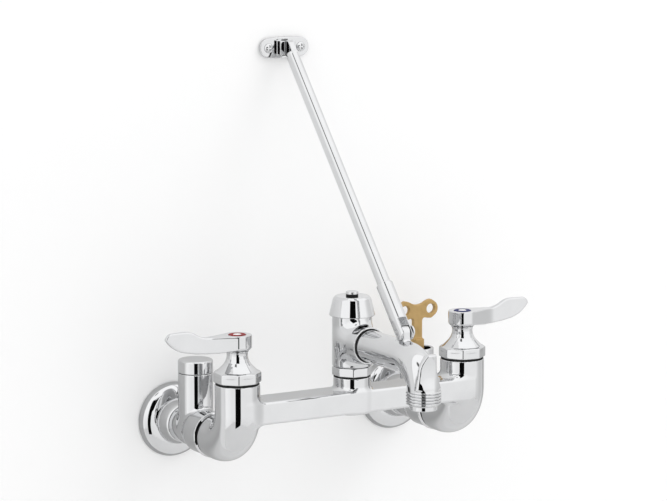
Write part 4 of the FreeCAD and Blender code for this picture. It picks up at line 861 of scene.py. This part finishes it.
def make_valves():
    casting = surface(mixing_body, (-119.2, -125.6, -17.6), (119.2, -63, 47.8), 0.9)
    piece("mixing_body_shape", "mixing_body", casting, upright(0, 0))
    foot_turns = {-1: 20.6, 1: 15.2}
    bell = surface(bonnet, (-18.8, -18.8, 40.5), (18.8, 18.8, 73.4), 0.6)
    both_sides("bonnet", bell, lambda sign: at_valve(sign, foot_turns[sign]))
    for side, sign in SIDES.items():
        # A black ring at each stop's joint with the casting: painted shade in the gap.
        piece(f"{side}_stop_painted_shade", f"{side}_stop_body", stop_painted_shade(), at_inlet(sign), "black_rubber")
        # A black ring under each bonnet: painted shade in the gap.
        piece(f"{side}_bonnet_painted_shade", f"{side}_bonnet", bonnet_painted_shade(), at_valve(sign), "black_rubber")
    lever_turns = {-1: 180, 1: 0}
    blade = surface(lever, (-11.4, -11.4, 73.3), (62.0, 11.4, 91.8), 0.6)
    both_sides("lever", blade, lambda sign: at_valve(sign, lever_turns[sign]))
    both_sides("index_plug", index_plug(), at_valve)
    both_sides("index_ring", index_ring(), at_valve)


def make_breaker():
    at_breaker = upright(0, -VALVE_REACH)
    nut = surface(breaker_nut, (-16, -16, 43), (16, 16, 51.2), 0.5)
    piece("breaker_nut_shape", "breaker_nut", nut, at_breaker)
    # A black ring under the nut: painted shade in the gap.
    piece("nut_painted_shade", "breaker_nut", nut_painted_shade(), at_breaker, "black_rubber")
    body = surface(breaker_body, (-15.7, -27.2, 47.5), (15.7, 15.7, 92.2), 0.8)
    piece("vacuum_breaker_body_shape", "vacuum_breaker_body", body, at_breaker)
    at_socket = outward(0, SPOUT_HEIGHT, VALVE_REACH)
    # A black ring in the socket's groove: painted shade.
    piece("socket_painted_shade", "vacuum_breaker_body", socket_painted_shade(), at_socket, "black_rubber")
    piece("vent_hood_shape", "vent_hood", vent_hood(), at_breaker)
    piece("hood_screw_shape", "hood_screw", hood_screw(), at_breaker)
    # A black band under the screw's head: painted shade.
    piece("screw_painted_shade", "hood_screw", screw_painted_shade(), at_breaker, "black_rubber")


def make_spout():
    tube = surface(spout_body, (-12.7, -225.7, 49), (12.7, -121.8, 95.0), 0.8)
    piece("spout_shape", "spout", tube, upright(0, 0))
    piece("spout_thread", "spout", hose_thread(), upright(0, -OUTLET_REACH))


def make_brace():
    fork = surface(brace_fork, (-6.6, -6.6, -6.6), (6.6, 6.6, 43), 0.45)
    piece("brace_fork_shape", "brace_fork", fork, on_brace())
    rod = surface(brace_rod, (-5.4, -5.4, 15.8), (5.4, 8.0, BRACE_LENGTH + 6.3), 0.5)
    piece("brace_rod_shape", "brace_rod", rod, on_brace())
    piece("fork_pin_shape", "fork_pin", fork_pin(), sideways(0, -LUG_REACH, LUG_HEIGHT))
    plate = surface(wall_bracket, (-22.2, -0.2, -8.7), (22.2, 8.5, 8.7), 0.4)
    piece("wall_bracket_shape", "wall_bracket", plate, upright(0, 0, BRACKET_HEIGHT, 180))
    piece("bracket_pin_shape", "bracket_pin", bracket_pin(), sideways(0, -EYE_REACH, EYE_HEIGHT))
    screw = surface(bracket_screw, (-4.2, -4.2, -21.2), (4.2, 4.2, 5.5), 0.22)
    for side, sign in SIDES.items():
        place = outward(HALF_SCREW_SPACING * sign, BRACKET_HEIGHT)
        piece(f"bracket_screw_{side}_side", "bracket_screws", screw, place)


make_wall_pieces()
make_valves()
make_breaker()
make_spout()
make_brace()


# Studio, in metres

CAMERA_PLACE, CAMERA_AZIMUTH, CAMERA_ELEVATION = (-1.24627, -2.20350, 0.53668), -30.403, 9.205
WALL_FACE, WALL_TOP, WALL_HALF_WIDTH = 0.0006, 4.0, 4.0
FLOOR_LEVEL, FLOOR_FRONT, FLOOR_HALF_WIDTH = -0.82, -1.65, 1.7
# How pale the chrome sees the wall by height, as painted shade: a dark band in the object's own shade just
# under it, lighter below and lightest high up where the light falls; and where along the wall that shade ends
# at the left.
WALL_PAINTED_SHADE = [(-0.25, 0.9), (-0.13, 0.8), (-0.06, 0.52), (0.0, 0.62), (0.05, 0.74), (0.11, 0.95), (0.2, 1.0)]
SHADE_END = (-0.16, -0.36)
CARD_DISTANCE, CARD_GLOW, CARD_MIDDLE = 1.2, 0.003, 0.1
# Brightness of the light tent by the sine of the elevation, then patches of it that are darker or
# brighter: azimuth, elevation, inner and outer half-angle in degrees, and factor.
TENT_LEVELS = [(-1.0, 0.94), (-0.5, 1.06), (-0.17, 1.2), (0.1, 1.35), (0.5, 1.38), (1.0, 1.43)]
TENT_PATCHES = [(84.0, 2.0, 10.0, 42.0, 0.68), (-100.0, -28.0, 8.0, 45.0, 1.14), (-47.0, 61.0, 3.5, 8.5, 0.1)]


def toward(azimuth, elevation=0.0):
    """A direction from the object: degrees from -Y toward +X, and degrees up."""
    az, el = math.radians(azimuth), math.radians(elevation)
    return Vector((math.sin(az) * math.cos(el), -math.cos(az) * math.cos(el), math.sin(el)))


def make_camera():
    """The photograph's viewpoint, solved from circles on both valves."""
    camera = bpy.data.objects.new("camera", bpy.data.cameras.new("camera"))
    bpy.context.scene.collection.objects.link(camera)
    camera.location = CAMERA_PLACE
    camera.rotation_mode = "QUATERNION"
    camera.rotation_quaternion = (-toward(CAMERA_AZIMUTH, CAMERA_ELEVATION)).to_track_quat("-Z", "Y")
    camera.data.sensor_width = 36.0
    camera.data.lens = 172.47
    camera.data.clip_start = 0.05
    camera.data.clip_end = 50.0
    bpy.context.scene.camera = camera


def stage_plane(name, corners, material):
    mesh = bpy.data.meshes.new(name)
    mesh.from_pydata(corners, [], [(0, 1, 2, 3)])
    mesh.materials.append(material)
    obj = bpy.data.objects.new(name, mesh)
    bpy.context.scene.collection.objects.link(obj)
    return obj


def arithmetic(tree, operation, first, second):
    """A maths node. Its second value is another node's output or a plain number."""
    node = tree.nodes.new("ShaderNodeMath")
    node.operation = operation
    tree.links.new(first, node.inputs[0])
    if isinstance(second, float):
        node.inputs[1].default_value = second
    else:
        tree.links.new(second, node.inputs[1])
    return node.outputs["Value"]


def mix_shaders(tree, factor, first, second, surface_input):
    choice = tree.nodes.new("ShaderNodeMixShader")
    tree.links.new(factor, choice.inputs["Fac"])
    tree.links.new(first, choice.inputs[1])
    tree.links.new(second, choice.inputs[2])
    tree.links.new(choice.outputs["Shader"], surface_input)


def pale_paint(name, tone):
    """Matt paint that can be seen through from behind, so that the object's back can be looked at."""
    material, tree, shader = new_material(name)
    shader.inputs["Roughness"].default_value = 0.9
    shader.inputs["Specular IOR Level"].default_value = 0.1
    shader.inputs["Base Color"].default_value = (tone, tone, tone, 1)
    behind = tree.nodes.new("ShaderNodeNewGeometry").outputs["Backfacing"]
    clear = tree.nodes.new("ShaderNodeBsdfTransparent").outputs["BSDF"]
    mix_shaders(tree, behind, shader.outputs["BSDF"], clear, tree.nodes["Material Output"].inputs["Surface"])
    return material, tree, shader


def painted_wall_shade(name, tone):
    """Pale paint that has its one tone for the camera, and the wall's painted shade by height for all else.
    """
    material, tree, shader = pale_paint(name, tone)
    parts = tree.nodes.new("ShaderNodeSeparateXYZ")
    tree.links.new(tree.nodes.new("ShaderNodeTexCoord").outputs["Object"], parts.inputs["Vector"])
    low, high = WALL_PAINTED_SHADE[0][0], WALL_PAINTED_SHADE[-1][0]
    ramp = tree.nodes.new("ShaderNodeValToRGB")
    ramp.color_ramp.interpolation = "EASE"
    for _ in WALL_PAINTED_SHADE[2:]:
        ramp.color_ramp.elements.new(0.5)
    for stop, (height, shade) in zip(ramp.color_ramp.elements, WALL_PAINTED_SHADE):
        stop.position = (height - low) / (high - low)
        stop.color = (shade, shade, shade, 1)
    tree.links.new(map_range(tree, parts.outputs["Z"], low, high), ramp.inputs["Fac"])
    past = map_range(tree, parts.outputs["X"], *SHADE_END, smooth=True)
    seen = tree.nodes.new("ShaderNodeMix")
    tree.links.new(tree.nodes.new("ShaderNodeLightPath").outputs["Is Camera Ray"], seen.inputs["Factor"])
    tree.links.new(arithmetic(tree, "MAXIMUM", ramp.outputs["Color"], past), seen.inputs["A"])
    seen.inputs["B"].default_value = tone
    tree.links.new(seen.outputs["Result"], shader.inputs["Base Color"])
    return material, tree, shader


def dark_card(name, azimuth, width, heights):
    """An upright dark card that only shows in the chrome, as a studio's opening for the camera does.
    The heights are those of its left and right ends below, and of its right and left ends above."""
    material, _, shader = new_material(name)
    shader.inputs["Base Color"].default_value = (0, 0, 0, 1)
    shader.inputs["Specular IOR Level"].default_value = 0.0
    shader.inputs["Emission Color"].default_value = (1, 1, 1, 1)
    shader.inputs["Emission Strength"].default_value = CARD_GLOW
    centre = Vector((0, -VALVE_REACH / 1000, 0)) + toward(azimuth) * CARD_DISTANCE
    aside = toward(azimuth + 90.0) * (width / 2)
    corners = [centre + aside * end + Vector((0, 0, height)) for end, height in zip((-1, 1, 1, -1), heights)]
    card = stage_plane(name, corners, material)
    card.visible_camera = False
    card.visible_diffuse = False
    card.visible_shadow = False


def area_light(name, azimuth, elevation, distance, size, power):
    data = bpy.data.lights.new(name, "AREA")
    data.shape = "SQUARE"
    data.size = size
    data.energy = power
    lamp = bpy.data.objects.new(name, data)
    bpy.context.scene.collection.objects.link(lamp)
    way = toward(azimuth, elevation)
    lamp.location = Vector((0, -0.1, 0.07)) + way * distance
    lamp.rotation_euler = way.to_track_quat("Z", "Y").to_euler()
    lamp.visible_glossy = False


def tent_light(tree):
    """The brightness that the chrome sees in each direction."""
    direction = tree.nodes.new("ShaderNodeTexCoord").outputs["Generated"]
    parts = tree.nodes.new("ShaderNodeSeparateXYZ")
    tree.links.new(direction, parts.inputs["Vector"])
    curve = tree.nodes.new("ShaderNodeFloatCurve")
    points = curve.mapping.curves[0].points
    for _ in TENT_LEVELS[2:]:
        points.new(0.5, 0.5)
    for point, (height, level) in zip(points, TENT_LEVELS):
        point.location = ((height + 1) / 2, level / 2)
    curve.mapping.update()
    tree.links.new(map_range(tree, parts.outputs["Z"], -1.0, 1.0), curve.inputs["Value"])
    level = curve.outputs["Value"]
    for azimuth, elevation, inner, outer, factor in TENT_PATCHES:
        nearness = tree.nodes.new("ShaderNodeVectorMath")
        nearness.operation = "DOT_PRODUCT"
        nearness.inputs[1].default_value = toward(azimuth, elevation)
        tree.links.new(direction, nearness.inputs[0])
        rim, core = math.cos(math.radians(outer)), math.cos(math.radians(inner))
        patch = map_range(tree, nearness.outputs["Value"], rim, core, 1.0, factor, smooth=True)
        level = arithmetic(tree, "MULTIPLY", level, patch)
    return arithmetic(tree, "MULTIPLY", level, 2.0)


def make_world():
    """A plain room for all rays but those that leave the chrome, which see the light tent."""
    world = bpy.data.worlds.new("studio")
    bpy.context.scene.world = world
    world.use_nodes = True
    tree = world.node_tree
    tree.nodes.remove(tree.nodes["Background"])
    room = tree.nodes.new("ShaderNodeBackground")
    room.inputs["Strength"].default_value = 1.0
    shine = tree.nodes.new("ShaderNodeBackground")
    tree.links.new(tent_light(tree), shine.inputs["Strength"])
    for background in (room, shine):
        background.inputs["Color"].default_value = (1, 1, 1, 1)
    glossy = tree.nodes.new("ShaderNodeLightPath").outputs["Is Glossy Ray"]
    mix_shaders(tree, glossy, room.outputs["Background"], shine.outputs["Background"],
                tree.nodes["World Output"].inputs["Surface"])


def make_studio():
    # The wall's paint carries painted shade by height for all rays but the camera's.
    wall, _, _ = painted_wall_shade("wall_paint", 0.97)
    floor, _, _ = pale_paint("floor_paint", 0.9)
    left, right = -WALL_HALF_WIDTH, WALL_HALF_WIDTH
    stage_plane("wall", [(left, WALL_FACE, FLOOR_LEVEL), (right, WALL_FACE, FLOOR_LEVEL),
                         (right, WALL_FACE, WALL_TOP), (left, WALL_FACE, WALL_TOP)], wall)
    left, right = -FLOOR_HALF_WIDTH, FLOOR_HALF_WIDTH
    stage_plane("floor", [(left, FLOOR_FRONT, FLOOR_LEVEL), (right, FLOOR_FRONT, FLOOR_LEVEL),
                          (right, WALL_FACE, FLOOR_LEVEL), (left, WALL_FACE, FLOOR_LEVEL)], floor)
    dark_card("dark_card_low", -29.5, 0.55, (-0.8, -0.67, CARD_MIDDLE, CARD_MIDDLE))
    dark_card("dark_card_high", -26.5, 0.68, (CARD_MIDDLE, CARD_MIDDLE, 0.88, 0.88))
    area_light("key", azimuth=50.0, elevation=45.0, distance=2.2, size=1.2, power=7.0)
    make_world()
    bpy.context.scene.view_settings.view_transform = "Standard"


make_studio()
make_camera()
